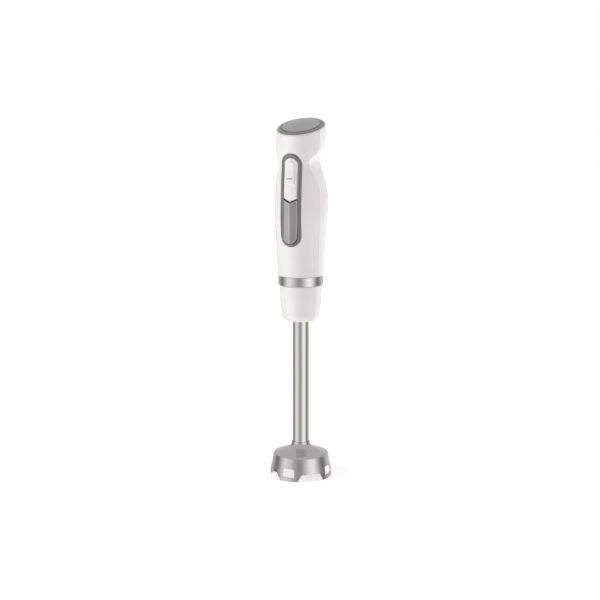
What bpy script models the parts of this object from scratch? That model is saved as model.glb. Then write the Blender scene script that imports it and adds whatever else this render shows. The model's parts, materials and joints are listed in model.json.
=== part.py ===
"""Immersion blender with a motor handle, switch panel, speed dial and a twist-off foot.

Metres, +Z up. The blender stands on the four feet of its blade guard. The origin is on its
axis at the surface it stands on, and the switch panel faces -Y.

At rest the foot is pushed home with its three lugs in line with the socket's slots, so it
pulls straight down from there, or twists until the lugs lie over the socket's lip.
"""

import math

import bmesh
import bpy
from mathutils import Matrix, Vector

MM = 0.001
GAP = 0.3 * MM                    # clearance between pieces that touch

# ---- Overall stack, from the feet upwards ---------------------------------------------
FOOT_HEIGHT = 7.8 * MM            # the guard's four feet, below its rim
SKIRT_HEIGHT = 19.2 * MM          # rim to the top of the guard's side wall
DOME_RISE = 11.6 * MM             # top of the side wall to the end of the flare
TUBE_EXPOSED = 137.1 * MM         # bare tube between guard and collar
COLLAR_HEIGHT = 39.3 * MM
BAND_HEIGHT = 10.2 * MM
HANDLE_LENGTH = 161.9 * MM        # band to the middle of the slanted top
TOP_TILT = math.radians(17.0)     # the top falls towards the front

Z_RIM = FOOT_HEIGHT
Z_SHOULDER = Z_RIM + SKIRT_HEIGHT
Z_FLARE = Z_SHOULDER + DOME_RISE
Z_COLLAR = Z_FLARE + TUBE_EXPOSED
Z_BAND = Z_COLLAR + COLLAR_HEIGHT + GAP
Z_HANDLE = Z_BAND + BAND_HEIGHT + GAP
Z_TOP = Z_HANDLE + HANDLE_LENGTH

# ---- Blade guard ----------------------------------------------------------------------
GUARD_RIM_RADIUS = 33.8 * MM
GUARD_SHOULDER_RADIUS = 30.7 * MM
GUARD_WALL = 1.2 * MM
SHOULDER_FILLET = 3.3 * MM
FLARE_FILLET = 7.3 * MM
FLARE_EDGE = 0.9 * MM             # edge of the flare where it meets the tube
SKIRT_CURVE = 1.3                 # above 1 the skirt flares more near its rim
FOOT_SPREAD_TOP = math.radians(26.5)      # half angle of a foot at the rim
FOOT_SPREAD_BOTTOM = math.radians(18.0)   # half angle of a foot at the ground
WINDOW_HALF_WIDTH = 7.6 * MM
WINDOW_TOP_HALF_WIDTH = 6.2 * MM
WINDOW_SILL = 4.2 * MM            # height of the bar under each window
WINDOW_HEIGHT = 9.4 * MM
FEET = 4

# ---- Shaft tube, collar and neck ------------------------------------------------------
TUBE_RADIUS = 9.0 * MM
TUBE_WALL = 0.9 * MM
TUBE_IN_GUARD = 5.0 * MM          # tube below the end of the flare
TUBE_IN_COLLAR = 27.3 * MM
COLLAR_TOP_RADIUS = 23.3 * MM
COLLAR_MID_RADIUS = 22.8 * MM
COLLAR_LOW_RADIUS = 21.3 * MM
COLLAR_BASE_RADIUS = 16.5 * MM
COLLAR_MID_DROP = 17.0 * MM       # top of the collar to its middle station
COLLAR_ROUNDING = 9.3 * MM        # height of the rounded lower end
COLLAR_WALL = 2.0 * MM
COLLAR_FLOOR = 2.4 * MM
SLEEVE_WALL = 2.2 * MM            # sleeve that grips the tube inside the collar
SLEEVE_HEIGHT = 18.0 * MM
TUBE_SEAL_HEIGHT = 2.4 * MM
TUBE_SEAL_WALL = 3.6 * MM
NECK_RADIUS = 15.0 * MM
NECK_WALL = 3.0 * MM
NECK_RISE = 12.9 * MM             # neck above the collar's deck
NECK_DECK = 3.0 * MM
NECK_GRIP_DEPTH = 7.0 * MM        # length of the neck that holds the tube's end
NECK_CONE = 2.7 * MM              # height over which the neck widens above the tube
NECK_GRIP_WALL = 1.0 * MM         # round the widened bore, below the deck
LUGS = 3
LUG_HEIGHT = 4.0 * MM
LUG_REACH = 2.6 * MM
LUG_HALF_ANGLE = math.radians(10.5)

# ---- Bayonet socket and band ----------------------------------------------------------
BAND_RADIUS = 24.8 * MM
BAND_WALL = 2.6 * MM
SOCKET_CLEARANCE = 0.4 * MM       # round the neck and over the lugs
SOCKET_LIP = 7.9 * MM
SOCKET_GROOVE = 6.6 * MM
SLOT_HALF_ANGLE = math.radians(13.0)
SOCKET_SHELF = 3.0 * MM
SHELF_MARGIN = 0.5 * MM           # the shelf's bore is this much wider than the neck's
SOCKET_RIM = 3.2 * MM             # upstand that carries the rubber ring
SOCKET_RIM_WALL = 3.0 * MM
LOCK_RING_THICKNESS = 1.2 * MM

# ---- Drive line -----------------------------------------------------------------------
SHAFT_RADIUS = 2.5 * MM
BLADE_LEVEL = 11.4 * MM
BLADE_REACH = 23.0 * MM
BLADE_ROOT_WIDTH = 10.0 * MM
BLADE_TIP_WIDTH = 6.0 * MM
BLADE_THICKNESS = 1.3 * MM
BLADE_TIP_LIFT = 2.4 * MM         # one wing rises and the other drops by this much
BLADE_PITCH = math.radians(9.0)
BLADE_HUB_RADIUS = 5.0 * MM
BLADE_HUB_HEIGHT = 4.0 * MM
NUT_RADIUS = 4.0 * MM
NUT_HEIGHT = 2.3 * MM
HUB_BOTTOM = 16.0 * MM            # lowest point of the hub housing
HUB_TIP_RADIUS = 7.2 * MM
HUB_SKIRT_RADIUS = 11.5 * MM
HUB_SPIGOT = 16.5 * MM            # housing inside the tube
SEAL_RADIUS = 5.5 * MM
SEAL_HEIGHT = 3.0 * MM
BUSH_RADIUS = 5.0 * MM
BUSH_LENGTH = 11.7 * MM
UPPER_BUSH_LENGTH = 10.0 * MM
COUPLING_CLEARANCE = 1.7 * MM      # between the motor coupling and the neck round it
COUPLING_WALL = 2.5 * MM
COUPLING_LENGTH = 27.0 * MM
COUPLING_CAVITY = 17.0 * MM
COUPLING_RIB_CLEARANCE = 0.7 * MM  # ribs to the driven hub, and fins to the cavity
COUPLING_RIB_WIDTH = 2.4 * MM
DRIVEN_HUB_RADIUS = 4.2 * MM
DRIVEN_FLANGE_CLEARANCE = 0.7 * MM  # flange to the neck's bore round it
DRIVEN_FLANGE = 2.5 * MM
COUPLING_OVERLAP = 11.0 * MM      # how far the two halves engage

# ---- Motor ----------------------------------------------------------------------------
MOUNT_RING_HEIGHT = 4.4 * MM
MOUNT_RING_INNER = 17.0 * MM
MOUNT_RING_OUTER = 22.0 * MM
LOWER_BRACKET_RADIUS = 21.6 * MM
BRACKET_PLATE = 3.0 * MM
LOWER_BEARING_RADIUS = 7.7 * MM
LOWER_BEARING_HEIGHT = 5.5 * MM
BEARING_SEAT_WALL = 2.5 * MM
BEARING_SEAT_REACH = 3.0 * MM     # seat above the plate
FAN_RADIUS = 12.5 * MM
FAN_HEIGHT = 5.7 * MM
FAN_DISC = 1.2 * MM
FAN_BLADES = 9
FAN_CLEARANCE = 1.3 * MM
CORE_LENGTH = 20.0 * MM
ARMATURE_RADIUS = 11.8 * MM
ARMATURE_TEETH = 12
ARMATURE_SLOT_DEPTH = 3.2 * MM
ARMATURE_BORE = 5.8 * MM
WINDING_RADIUS = 10.4 * MM
WINDING_END = 4.3 * MM
AIR_GAP = 0.8 * MM
STATOR_RADIUS = 20.5 * MM
STATOR_RING_WALL = 3.3 * MM
POLE_HALF_WIDTH = 6.0 * MM
COIL_RADIAL = 3.2 * MM
COIL_WIDTH = 2.9 * MM
COIL_INNER = 11.0 * MM            # distance of a field coil's near face from the axis
COMMUTATOR_RADIUS = 6.5 * MM
COMMUTATOR_HEIGHT = 6.0 * MM
COMMUTATOR_BARS = 12
BRUSH_WIDTH = 5.0 * MM
BRUSH_LENGTH = 8.5 * MM
HOLDER_WALL = 1.0 * MM
HOLDER_LENGTH = 8.4 * MM
LEAF_THICKNESS = 0.4 * MM
UPPER_BRACKET_RADIUS = 17.5 * MM
UPPER_BEARING_RADIUS = 5.0 * MM
UPPER_BEARING_HEIGHT = 4.3 * MM
BOLT_CIRCLE = 14.6 * MM
BOLT_RADIUS = 1.4 * MM
BOLT_HEAD_RADIUS = 2.8 * MM
BOLT_HEAD_HEIGHT = 2.0 * MM

# ---- Handle casing --------------------------------------------------------------------
CASE_WALL = 2.2 * MM
CASE_ROWS = 20
FRONT_COLUMNS = 12
REAR_COLUMNS = 16
PARTING_GAP = 0.27 * MM           # each casing half stops this far short of the crease
TILT_ZONE = 24.0 * MM             # height over which the section leans into the slanted top

FRONT_FOOT_RADIUS = 25.6 * MM
FRONT_HIP_RADIUS = 27.1 * MM
FRONT_BELLY_RADIUS = 28.6 * MM
FRONT_GRIP_RADIUS = 27.0 * MM
FRONT_WAIST_RADIUS = 25.5 * MM
HEAD_RADIUS = 26.6 * MM
SIDE_FOOT_HALF = 25.3 * MM
SIDE_HIP_HALF = 27.4 * MM
SIDE_BELLY_HALF = 30.4 * MM
SIDE_GRIP_HALF = 26.0 * MM
SIDE_THUMB_HALF = 22.4 * MM
SIDE_WAIST_HALF = 17.4 * MM
SIDE_NECK_HALF = 24.6 * MM
SIDE_HEAD_HALF = 27.0 * MM
REAR_FOOT_DEPTH = 25.4 * MM
REAR_BELLY_DEPTH = 30.6 * MM
REAR_WAIST_DEPTH = 23.5 * MM
REAR_HEAD_DEPTH = 27.0 * MM
SCOOP_REACH = 45.0 * MM           # how square the scooped sides meet the front at the waist
SCOOP_POWER = 2.5
ROUND_POWER = 2.0
CREASE_WIDE = math.radians(71.0)
CREASE_WAIST = math.radians(43.5)
CREASE_HEAD = math.radians(73.0)
CREASE_BLEND = math.radians(30.0)

# Stations of the casing, as heights below the middle of the top or above its foot
HIP_RISE = 40.0 * MM
BELLY_DROP = 97.0 * MM
SIDE_BELLY_DROP = 80.0 * MM
GRIP_DROP = 59.0 * MM
THUMB_DROP = 49.0 * MM
FRONT_GRIP_DROP = 57.0 * MM
FRONT_WAIST_DROP = 41.5 * MM
SIDE_WAIST_DROP = 33.5 * MM
REAR_WAIST_DROP = 38.0 * MM
NECK_DROP = 24.5 * MM
FRONT_HEAD_DROP = 27.0 * MM
SIDE_HEAD_DROP = 8.0 * MM
CREASE_LOW_DROP = 70.0 * MM
CREASE_WAIST_DROP = 37.5 * MM
CREASE_HIGH_DROP = 22.0 * MM

FRONT_RADIUS = [
    (Z_HANDLE, FRONT_FOOT_RADIUS),
    (Z_HANDLE + HIP_RISE, FRONT_HIP_RADIUS),
    (Z_TOP - BELLY_DROP, FRONT_BELLY_RADIUS),
    (Z_TOP - FRONT_GRIP_DROP, FRONT_GRIP_RADIUS),
    (Z_TOP - FRONT_WAIST_DROP, FRONT_WAIST_RADIUS),
    (Z_TOP - FRONT_HEAD_DROP, HEAD_RADIUS),
]
SIDE_HALF = [
    (Z_HANDLE, SIDE_FOOT_HALF),
    (Z_HANDLE + HIP_RISE, SIDE_HIP_HALF),
    (Z_TOP - SIDE_BELLY_DROP, SIDE_BELLY_HALF),
    (Z_TOP - GRIP_DROP, SIDE_GRIP_HALF),
    (Z_TOP - THUMB_DROP, SIDE_THUMB_HALF),
    (Z_TOP - SIDE_WAIST_DROP, SIDE_WAIST_HALF),
    (Z_TOP - NECK_DROP, SIDE_NECK_HALF),
    (Z_TOP - SIDE_HEAD_DROP, SIDE_HEAD_HALF),
]
REAR_DEPTH = [
    (Z_HANDLE, REAR_FOOT_DEPTH),
    (Z_TOP - SIDE_BELLY_DROP, REAR_BELLY_DEPTH),
    (Z_TOP - REAR_WAIST_DROP, REAR_WAIST_DEPTH),
    (Z_TOP - SIDE_HEAD_DROP, REAR_HEAD_DEPTH),
]
FRONT_REACH = [
    (Z_HANDLE, REAR_FOOT_DEPTH),
    (Z_TOP - SIDE_BELLY_DROP, REAR_BELLY_DEPTH),
    (Z_TOP - SIDE_WAIST_DROP, SCOOP_REACH),
    (Z_TOP - SIDE_HEAD_DROP, REAR_HEAD_DEPTH),
]
SQUARENESS = [
    (Z_TOP - SIDE_BELLY_DROP, ROUND_POWER),
    (Z_TOP - SIDE_WAIST_DROP, SCOOP_POWER),
    (Z_TOP - SIDE_HEAD_DROP, ROUND_POWER),
]
CREASE = [
    (Z_TOP - CREASE_LOW_DROP, CREASE_WIDE),
    (Z_TOP - CREASE_WAIST_DROP, CREASE_WAIST),
    (Z_TOP - CREASE_HIGH_DROP, CREASE_HEAD),
]

# ---- Switch panel ---------------------------------------------------------------------
PANEL_DROP = 28.0 * MM            # middle of the top to the panel's upper end
PANEL_LENGTH = 100.0 * MM
PANEL_HALF_WIDTH = 11.8 * MM
PANEL_PROUD = 0.7 * MM
PANEL_DEPTH = 2.9 * MM
FRAME_SIDE = 3.3 * MM
FRAME_TOP = 3.6 * MM
FRAME_BOTTOM = 2.5 * MM
FRAME_SIDE_STEPS = 8              # pieces of each long side, which follow the casing's curve
BUTTON_SPLIT = 50.4 * MM          # panel's upper end to the middle of the V between buttons
BUTTON_V_DEPTH = 3.8 * MM
BUTTON_V_GAP = 1.2 * MM
BUTTON_PROUD = 0.9 * MM
BUTTON_DEPTH = 2.2 * MM
BUTTON_TRAVEL = 2.2 * MM
THUMB_PAD_HALF_WIDTH = 5.2 * MM
THUMB_PAD_LENGTH = 26.0 * MM
THUMB_PAD_RISE = 0.9 * MM
RIDGE_RISE = 0.8 * MM
STEM_SIZE = 4.0 * MM
STEM_END = 23.1 * MM              # distance of a stem's end from the axis
SWITCH_FACE = 19.8 * MM
SWITCH_DEPTH = 6.4 * MM
SWITCH_LENGTH = 12.8 * MM
SWITCH_WIDTH = 6.0 * MM
PLUNGER_RADIUS = 1.2 * MM
PLUNGER_LENGTH = 5.4 * MM
ON_SWITCH_DROP = 22.0 * MM        # panel's upper end to the middle of the upper switch
TURBO_SWITCH_DROP = 54.2 * MM
BOARD_THICKNESS = 1.6 * MM
BOARD_HALF_WIDTH = 10.0 * MM
BOARD_TOP_DROP = 8.0 * MM
BOARD_LENGTH = 53.0 * MM
BOARD_SCREW_DROPS = {"top": 10.6 * MM, "bottom": 38.0 * MM}
SCREW_RADIUS = 1.25 * MM
SCREW_HEAD_RADIUS = 2.5 * MM
SCREW_HEAD_HEIGHT = 1.6 * MM
CHASSIS_HALF_WIDTH = 12.0 * MM
CHASSIS_WALL = 2.4 * MM
CHASSIS_DEPTH = 14.0 * MM

# ---- Top: rim, dial and speed control -------------------------------------------------
RIM_PROUD = 1.0 * MM
RIM_INSET = 1.9 * MM              # white edge of the casing left showing round the rim
RIM_CHAMFER = 0.7 * MM
DIAL_RADIUS = 21.0 * MM
DIAL_PROUD = 2.8 * MM
DIAL_CLEARANCE = 0.4 * MM
DIAL_RECESS = 2.6 * MM
DIAL_CHAMFER = 1.4 * MM
DIAL_DISH = 0.6 * MM
DIAL_CROWN = 2.2 * MM             # thickness of the dial's top
DIAL_SKIRT = 2.2 * MM
RIM_FLOOR = 2.0 * MM
RIM_SPIGOT_WALL = 1.9 * MM
POT_RADIUS = 8.0 * MM
POT_HEIGHT = 7.0 * MM
POT_SHAFT_RADIUS = 3.0 * MM
POT_SHAFT_DEPTH = 5.0 * MM        # shaft inside the speed control

# ---- Cord inlet -----------------------------------------------------------------------
INLET_DROP = 16.0 * MM            # middle of the top down to the inlet's axis
GLAND_RADIUS = 5.0 * MM
GLAND_BORE = 3.4 * MM
GLAND_FLANGE_RADIUS = 6.8 * MM
GLAND_FLANGE = 1.5 * MM
GLAND_LENGTH = 8.5 * MM
CLAMP_DROP = 25.5 * MM
CLAMP_SPACING = 8.0 * MM          # clamp screws either side of the cord
CLAMP_HALF_LENGTH = 11.0 * MM
CLAMP_HEIGHT = 5.0 * MM
CLAMP_THICKNESS = 2.4 * MM
BOSS_RADIUS = 2.8 * MM
BOSS_FACE = 15.0 * MM             # distance of the bosses' ends from the axis

COLOURS = {
    "gloss_white": ((0.86, 0.85, 0.83), 0.22, 0.0),
    "grip_white": ((0.84, 0.83, 0.81), 0.34, 0.0),
    "dark_grey": ((0.13, 0.13, 0.13), 0.38, 0.0),
    "mid_grey": ((0.33, 0.33, 0.33), 0.36, 0.0),
    "bright_steel": ((0.72, 0.71, 0.69), 0.16, 1.0),
    "satin_steel": ((0.63, 0.62, 0.60), 0.30, 1.0),
    "black_plastic": ((0.03, 0.03, 0.03), 0.45, 0.0),
    "natural_plastic": ((0.75, 0.72, 0.64), 0.45, 0.0),
    "rubber": ((0.03, 0.03, 0.03), 0.75, 0.0),
    "copper": ((0.62, 0.27, 0.12), 0.35, 1.0),
    "laminations": ((0.36, 0.36, 0.38), 0.50, 1.0),
    "bronze": ((0.55, 0.40, 0.20), 0.40, 1.0),
    "carbon": ((0.05, 0.05, 0.055), 0.65, 0.0),
    "board_green": ((0.04, 0.20, 0.08), 0.50, 0.0),
}


# ---- Tools ----------------------------------------------------------------------------
def clear_scene():
    for obj in list(bpy.data.objects):
        bpy.data.objects.remove(obj, do_unlink=True)


def new_collection(name):
    collection = bpy.data.collections.new(name)
    bpy.context.scene.collection.children.link(collection)
    return collection


def material_for(name):
    material = bpy.data.materials.get(name)
    if material:
        return material
    colour, roughness, metallic = COLOURS[name]
    material = bpy.data.materials.new(name)
    material.use_nodes = True
    shader = material.node_tree.nodes["Principled BSDF"]
    shader.inputs["Base Color"].default_value = (*colour, 1.0)
    shader.inputs["Roughness"].default_value = roughness
    shader.inputs["Metallic"].default_value = metallic
    return material


def add_part(name, mesh, finish, origin=(0.0, 0.0, 0.0)):
    """Links a mesh drawn in world space as a part whose origin is at the given point."""
    mesh.transform(Matrix.Translation(-Vector(origin)))
    obj = bpy.data.objects.new(name, mesh)
    obj.location = origin
    mesh.materials.append(material_for(finish))
    PARTS.objects.link(obj)
    return obj


def add_cutter(name, mesh):
    obj = bpy.data.objects.new(name, mesh)
    obj.hide_render = True
    obj.display_type = "WIRE"
    CUTTERS.objects.link(obj)
    return obj


def combine(obj, operation, tool):
    """Adds an exact Boolean of a tool object to a part."""
    modifier = obj.modifiers.new(tool.name, "BOOLEAN")
    modifier.operation = operation
    modifier.solver = "EXACT"
    modifier.object = tool
    return obj


def cut(obj, tool):
    return combine(obj, "DIFFERENCE", tool)


def join(obj, tool):
    return combine(obj, "UNION", tool)


def finish_mesh(name, bm, smooth=True):
    bmesh.ops.recalc_face_normals(bm, faces=bm.faces[:])
    mesh = bpy.data.meshes.new(name)
    bm.to_mesh(mesh)
    bm.free()
    if smooth:
        mesh.shade_smooth()
        mesh.set_sharp_from_angle(angle=math.radians(35.0))
    return mesh


def turned(name, profile, finish, steps=32, origin=(0.0, 0.0, 0.0)):
    """Turns a profile of (radius, height) points about Z through the origin.

    The profile runs down the outer side. It closes on itself, unless both its ends lie on
    the axis. Heights count from z = 0, and the part is then moved to its origin.
    """
    on_axis = profile[0][0] == 0.0 and profile[-1][0] == 0.0
    mesh = bpy.data.meshes.new(name)
    vertices = [(radius, 0.0, height) for radius, height in profile]
    edges = [(i, i + 1) for i in range(len(profile) - 1)]
    if not on_axis:
        edges.append((len(profile) - 1, 0))
    mesh.from_pydata(vertices, edges, [])
    obj = add_part(name, mesh, finish)
    obj.location = origin
    screw = obj.modifiers.new("Turn", "SCREW")
    screw.axis = "Z"
    screw.angle = math.tau
    screw.steps = steps
    screw.render_steps = steps
    screw.use_smooth_shade = True
    screw.use_merge_vertices = True
    screw.merge_threshold = 0.01 * MM
    return obj


def ring_profile(inner, outer, low, high):
    return [(outer, high), (outer, low), (inner, low), (inner, high)]


def tilt_to_top(obj, height):
    """Places a turned part on the slanted top's axis, at a height along that axis."""
    obj.rotation_euler = (TOP_TILT, 0.0, 0.0)
    obj.location = top_point(0.0, 0.0, height)
    return obj


def point_along_y(obj, location):
    """Turns a part made about Z so that its +Z points along +Y."""
    obj.rotation_euler = (-math.pi / 2, 0.0, 0.0)
    obj.location = location
    return obj


def lofted_mesh(name, rings, closed_loop=False):
    """Skins rings of equally many points; the ends are capped unless the loop closes."""
    bm = bmesh.new()
    rows = [[bm.verts.new(point) for point in ring] for ring in rings]
    pairs = list(zip(rows, rows[1:]))
    if closed_loop:
        pairs.append((rows[-1], rows[0]))
    for lower, upper in pairs:
        for i in range(len(lower)):
            j = (i + 1) % len(lower)
            bm.faces.new((lower[i], lower[j], upper[j], upper[i]))
    if not closed_loop:
        bm.faces.new(rows[0])
        bm.faces.new(rows[-1])
    return finish_mesh(name, bm)


def slab_mesh(name, outer, inner):
    """Closes the space between two grids of points, given as rows of equal length."""
    bm = bmesh.new()
    faces = []
    grids = [[[bm.verts.new(p) for p in row] for row in grid] for grid in (outer, inner)]
    rows = len(outer)
    columns = len(outer[0])
    for grid in grids:
        for r in range(rows - 1):
            for c in range(columns - 1):
                faces.append((grid[r][c], grid[r][c + 1], grid[r + 1][c + 1], grid[r + 1][c]))
    top, bottom = grids
    border = [(r, 0) for r in range(rows)]
    border += [(rows - 1, c) for c in range(1, columns)]
    border += [(r, columns - 1) for r in range(rows - 2, -1, -1)]
    border += [(0, c) for c in range(columns - 2, 0, -1)]
    for (r, c), (s, d) in zip(border, border[1:] + border[:1]):
        faces.append((top[r][c], top[s][d], bottom[s][d], bottom[r][c]))
    for face in faces:
        bm.faces.new(face)
    return finish_mesh(name, bm)


def block_mesh(name, low, high, turn=0.0):
    """A box between two corners, then turned about the Z axis."""
    bm = bmesh.new()
    size = Vector(high) - Vector(low)
    centre = (Vector(high) + Vector(low)) / 2
    place = Matrix.Rotation(turn, 4, "Z") @ Matrix.Translation(centre) @ Matrix.Diagonal((*size, 1))
    bmesh.ops.create_cube(bm, size=1.0, matrix=place)
    return finish_mesh(name, bm, smooth=False)


def rod_mesh(name, radius, start, end, sides=16):
    """A round rod between two points."""
    bm = bmesh.new()
    start = Vector(start)
    axis = Vector(end) - start
    turn = axis.to_track_quat("Z", "Y").to_matrix().to_4x4()
    place = Matrix.Translation(start + axis / 2) @ turn @ Matrix.Rotation(math.pi / sides, 4, "Z")
    bmesh.ops.create_cone(bm, cap_ends=True, segments=sides, radius1=radius, radius2=radius,
                          depth=axis.length, matrix=place)
    return finish_mesh(name, bm)


def prism_mesh(name, outline, low, high):
    """Extrudes an outline of (x, y) points between two heights."""
    rings = [[(x, y, z) for x, y in outline] for z in (low, high)]
    return lofted_mesh(name, rings)


def arc(centre, radii, start, end, count):
    """Points of an elliptic arc, in degrees, both ends included."""
    points = []
    for i in range(count):
        angle = math.radians(start + (end - start) * i / (count - 1))
        points.append((centre[0] + radii[0] * math.cos(angle), centre[1] + radii[1] * math.sin(angle)))
    return points


def smooth_step(share):
    share = min(max(share, 0.0), 1.0)
    return share * share * (3.0 - 2.0 * share)


def interpolate(stations, position):
    """Smooth curve through (position, value) stations that never overshoots them."""
    places = [station[0] for station in stations]
    values = [station[1] for station in stations]
    if position <= places[0]:
        return values[0]
    if position >= places[-1]:
        return values[-1]
    slopes = [(values[i + 1] - values[i]) / (places[i + 1] - places[i]) for i in range(len(values) - 1)]

    def tangent(i):
        if i in (0, len(slopes)) or slopes[i - 1] * slopes[i] <= 0.0:
            return 0.0
        return 2.0 * slopes[i - 1] * slopes[i] / (slopes[i - 1] + slopes[i])

    index = max(i for i, place in enumerate(places) if place <= position)
    span = places[index + 1] - places[index]
    t = (position - places[index]) / span
    start = values[index] * (2 * t**3 - 3 * t**2 + 1) + tangent(index) * span * (t**3 - 2 * t**2 + t)
    end = values[index + 1] * (3 * t**2 - 2 * t**3) + tangent(index + 1) * span * (t**3 - t**2)
    return start + end


# ---- The casing's form ----------------------------------------------------------------
def front_radius(level):
    return interpolate(FRONT_RADIUS, level)


def scooped_radius(angle, level):
    """Radius of the side and rear form at an angle from the front."""
    power = interpolate(SQUARENESS, level)
    reach = interpolate(FRONT_REACH if math.cos(angle) > 0.0 else REAR_DEPTH, level)
    lateral = abs(math.sin(angle)) / interpolate(SIDE_HALF, level)
    lengthwise = abs(math.cos(angle)) / reach
    return (lateral**power + lengthwise**power) ** (-1.0 / power)


def rear_radius(angle, level):
    """The scooped form, faded so that it starts on the front's radius at the crease."""
    angle = min(angle, math.tau - angle)
    crease = interpolate(CREASE, level)
    fade = 1.0 - smooth_step((angle - crease) / CREASE_BLEND)
    ratio = front_radius(level) / scooped_radius(crease, level)
    return scooped_radius(angle, level) * (1.0 + (ratio - 1.0) * fade)


def polar(radius, angle):
    """Point at an angle from the front, which is -Y, towards +X."""
    return Vector((radius * math.sin(angle), -radius * math.cos(angle)))


def case_outline(level):
    """The casing's outer outline: front points, then the rear points after the crease."""
    crease = interpolate(CREASE, level)
    front = []
    for i in range(FRONT_COLUMNS + 1):
        angle = crease * (2.0 * i / FRONT_COLUMNS - 1.0)
        front.append(polar(front_radius(level), angle))
    rear = []
    for i in range(1, REAR_COLUMNS):
        angle = crease + (math.tau - 2.0 * crease) * i / REAR_COLUMNS
        rear.append(polar(rear_radius(angle, level), angle))
    return front, rear


def inset_outline(outline, distance):
    """Moves each point of a closed outline inwards, square to the outline."""
    inner = []
    for i, point in enumerate(outline):
        before = (point - outline[i - 1]).normalized()
        after = (outline[(i + 1) % len(outline)] - point).normalized()
        mean = (before + after).normalized()
        inward = Vector((-mean.y, mean.x))
        inner.append(point + inward * distance / before.dot(mean))
    return inner


def leaned(point, level):
    """Lifts a point of the section at a level onto the plane that leans towards the top."""
    lean = math.tan(TOP_TILT) * smooth_step((level - Z_TOP + TILT_ZONE) / TILT_ZONE)
    return Vector((point.x, point.y, level + point.y * lean))


def top_point(x, y, height):
    """Point on the slanted top, raised square to it. x and y are measured in its plane."""
    turn = Matrix.Rotation(TOP_TILT, 3, "X")
    return turn @ Vector((x, y, height)) + Vector((0.0, 0.0, Z_TOP))


def on_front(x, z, offset):
    """Point on the casing's front at x and z, offset outwards along its radius."""
    radius = front_radius(z) + offset
    return Vector((x, -math.sqrt(radius**2 - x**2), z))


def stadium(half_width, low, high, side_steps=1):
    """Outline of (x, z) points with round ends, counter-clockwise from the right."""
    upper = arc((0.0, high - half_width), (half_width, half_width), 0.0, 180.0, 12)
    lower = arc((0.0, low + half_width), (half_width, half_width), 180.0, 360.0, 12)
    straight = high - low - 2 * half_width
    drops = [straight * i / side_steps for i in range(1, side_steps)]
    left = [(-half_width, high - half_width - drop) for drop in drops]
    right = [(half_width, low + half_width + drop) for drop in drops]
    return upper + left + lower + right


# ---- Handle casing --------------------------------------------------------------------
def case_levels():
    high = Z_TOP - GAP
    return [Z_HANDLE + (high - Z_HANDLE) * i / (CASE_ROWS - 1) for i in range(CASE_ROWS)]


def case_grids(want_front):
    """Outer and inner rows of points of one half of the casing, bottom to top."""
    outer_rows = []
    inner_rows = []
    for level in case_levels():
        front, rear = case_outline(level)
        outline = front + rear
        inner = inset_outline(outline, CASE_WALL)
        count = len(front)
        if want_front:
            indices = list(range(count))
        else:
            indices = list(range(count - 1, len(outline))) + [0]
        outer = [outline[i].copy() for i in indices]
        lining = [inner[i].copy() for i in indices]
        for end, towards in ((0, 1), (-1, -2)):
            shift = (outer[towards] - outer[end]).normalized() * PARTING_GAP
            outer[end] += shift
            lining[end] += shift
        outer_rows.append([leaned(point, level) for point in outer])
        inner_rows.append([leaned(point, level) for point in lining])
    return outer_rows, inner_rows


def panel_span():
    high = Z_TOP - PANEL_DROP
    return high - PANEL_LENGTH, high


def build_front_shell():
    shell = add_part("front_shell", slab_mesh("front_shell", *case_grids(True)), "gloss_white")
    low, high = panel_span()
    outline = stadium(PANEL_HALF_WIDTH + GAP, low - GAP, high + GAP)
    far = FRONT_BELLY_RADIUS * 2
    near = POLE_HALF_WIDTH
    rings = [[(x, -depth, z) for x, z in outline] for depth in (far, near)]
    cut(shell, add_cutter("panel_hole", lofted_mesh("panel_hole", rings)))


def build_rear_shell():
    shell = add_part("rear_shell", slab_mesh("rear_shell", *case_grids(False)), "grip_white")
    boss_level = Z_TOP - CLAMP_DROP
    wall_middle = interpolate(REAR_DEPTH, boss_level) - CASE_WALL
    for side, name in ((-1, "left"), (1, "right")):
        x = side * CLAMP_SPACING
        start = (x, BOSS_FACE, boss_level)
        end = (x, wall_middle, boss_level)
        join(shell, add_cutter(f"boss_{name}", rod_mesh(f"boss_{name}", BOSS_RADIUS, start, end, 12)))
        hole_end = (x, BOSS_FACE + CLAMP_THICKNESS * 1.6, boss_level)
        hole_start = (x, BOSS_FACE - BOSS_RADIUS, boss_level)
        hole = rod_mesh(f"boss_hole_{name}", SCREW_RADIUS + GAP, hole_start, hole_end, 12)
        cut(shell, add_cutter(f"boss_hole_{name}", hole))
    inlet = Z_TOP - INLET_DROP
    ends = ((0.0, BOSS_FACE, inlet), (0.0, 2 * REAR_HEAD_DEPTH, inlet))
    hole = rod_mesh("inlet_hole", GLAND_RADIUS + GAP, *ends, 24)
    cut(shell, add_cutter("inlet_hole", hole))


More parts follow.
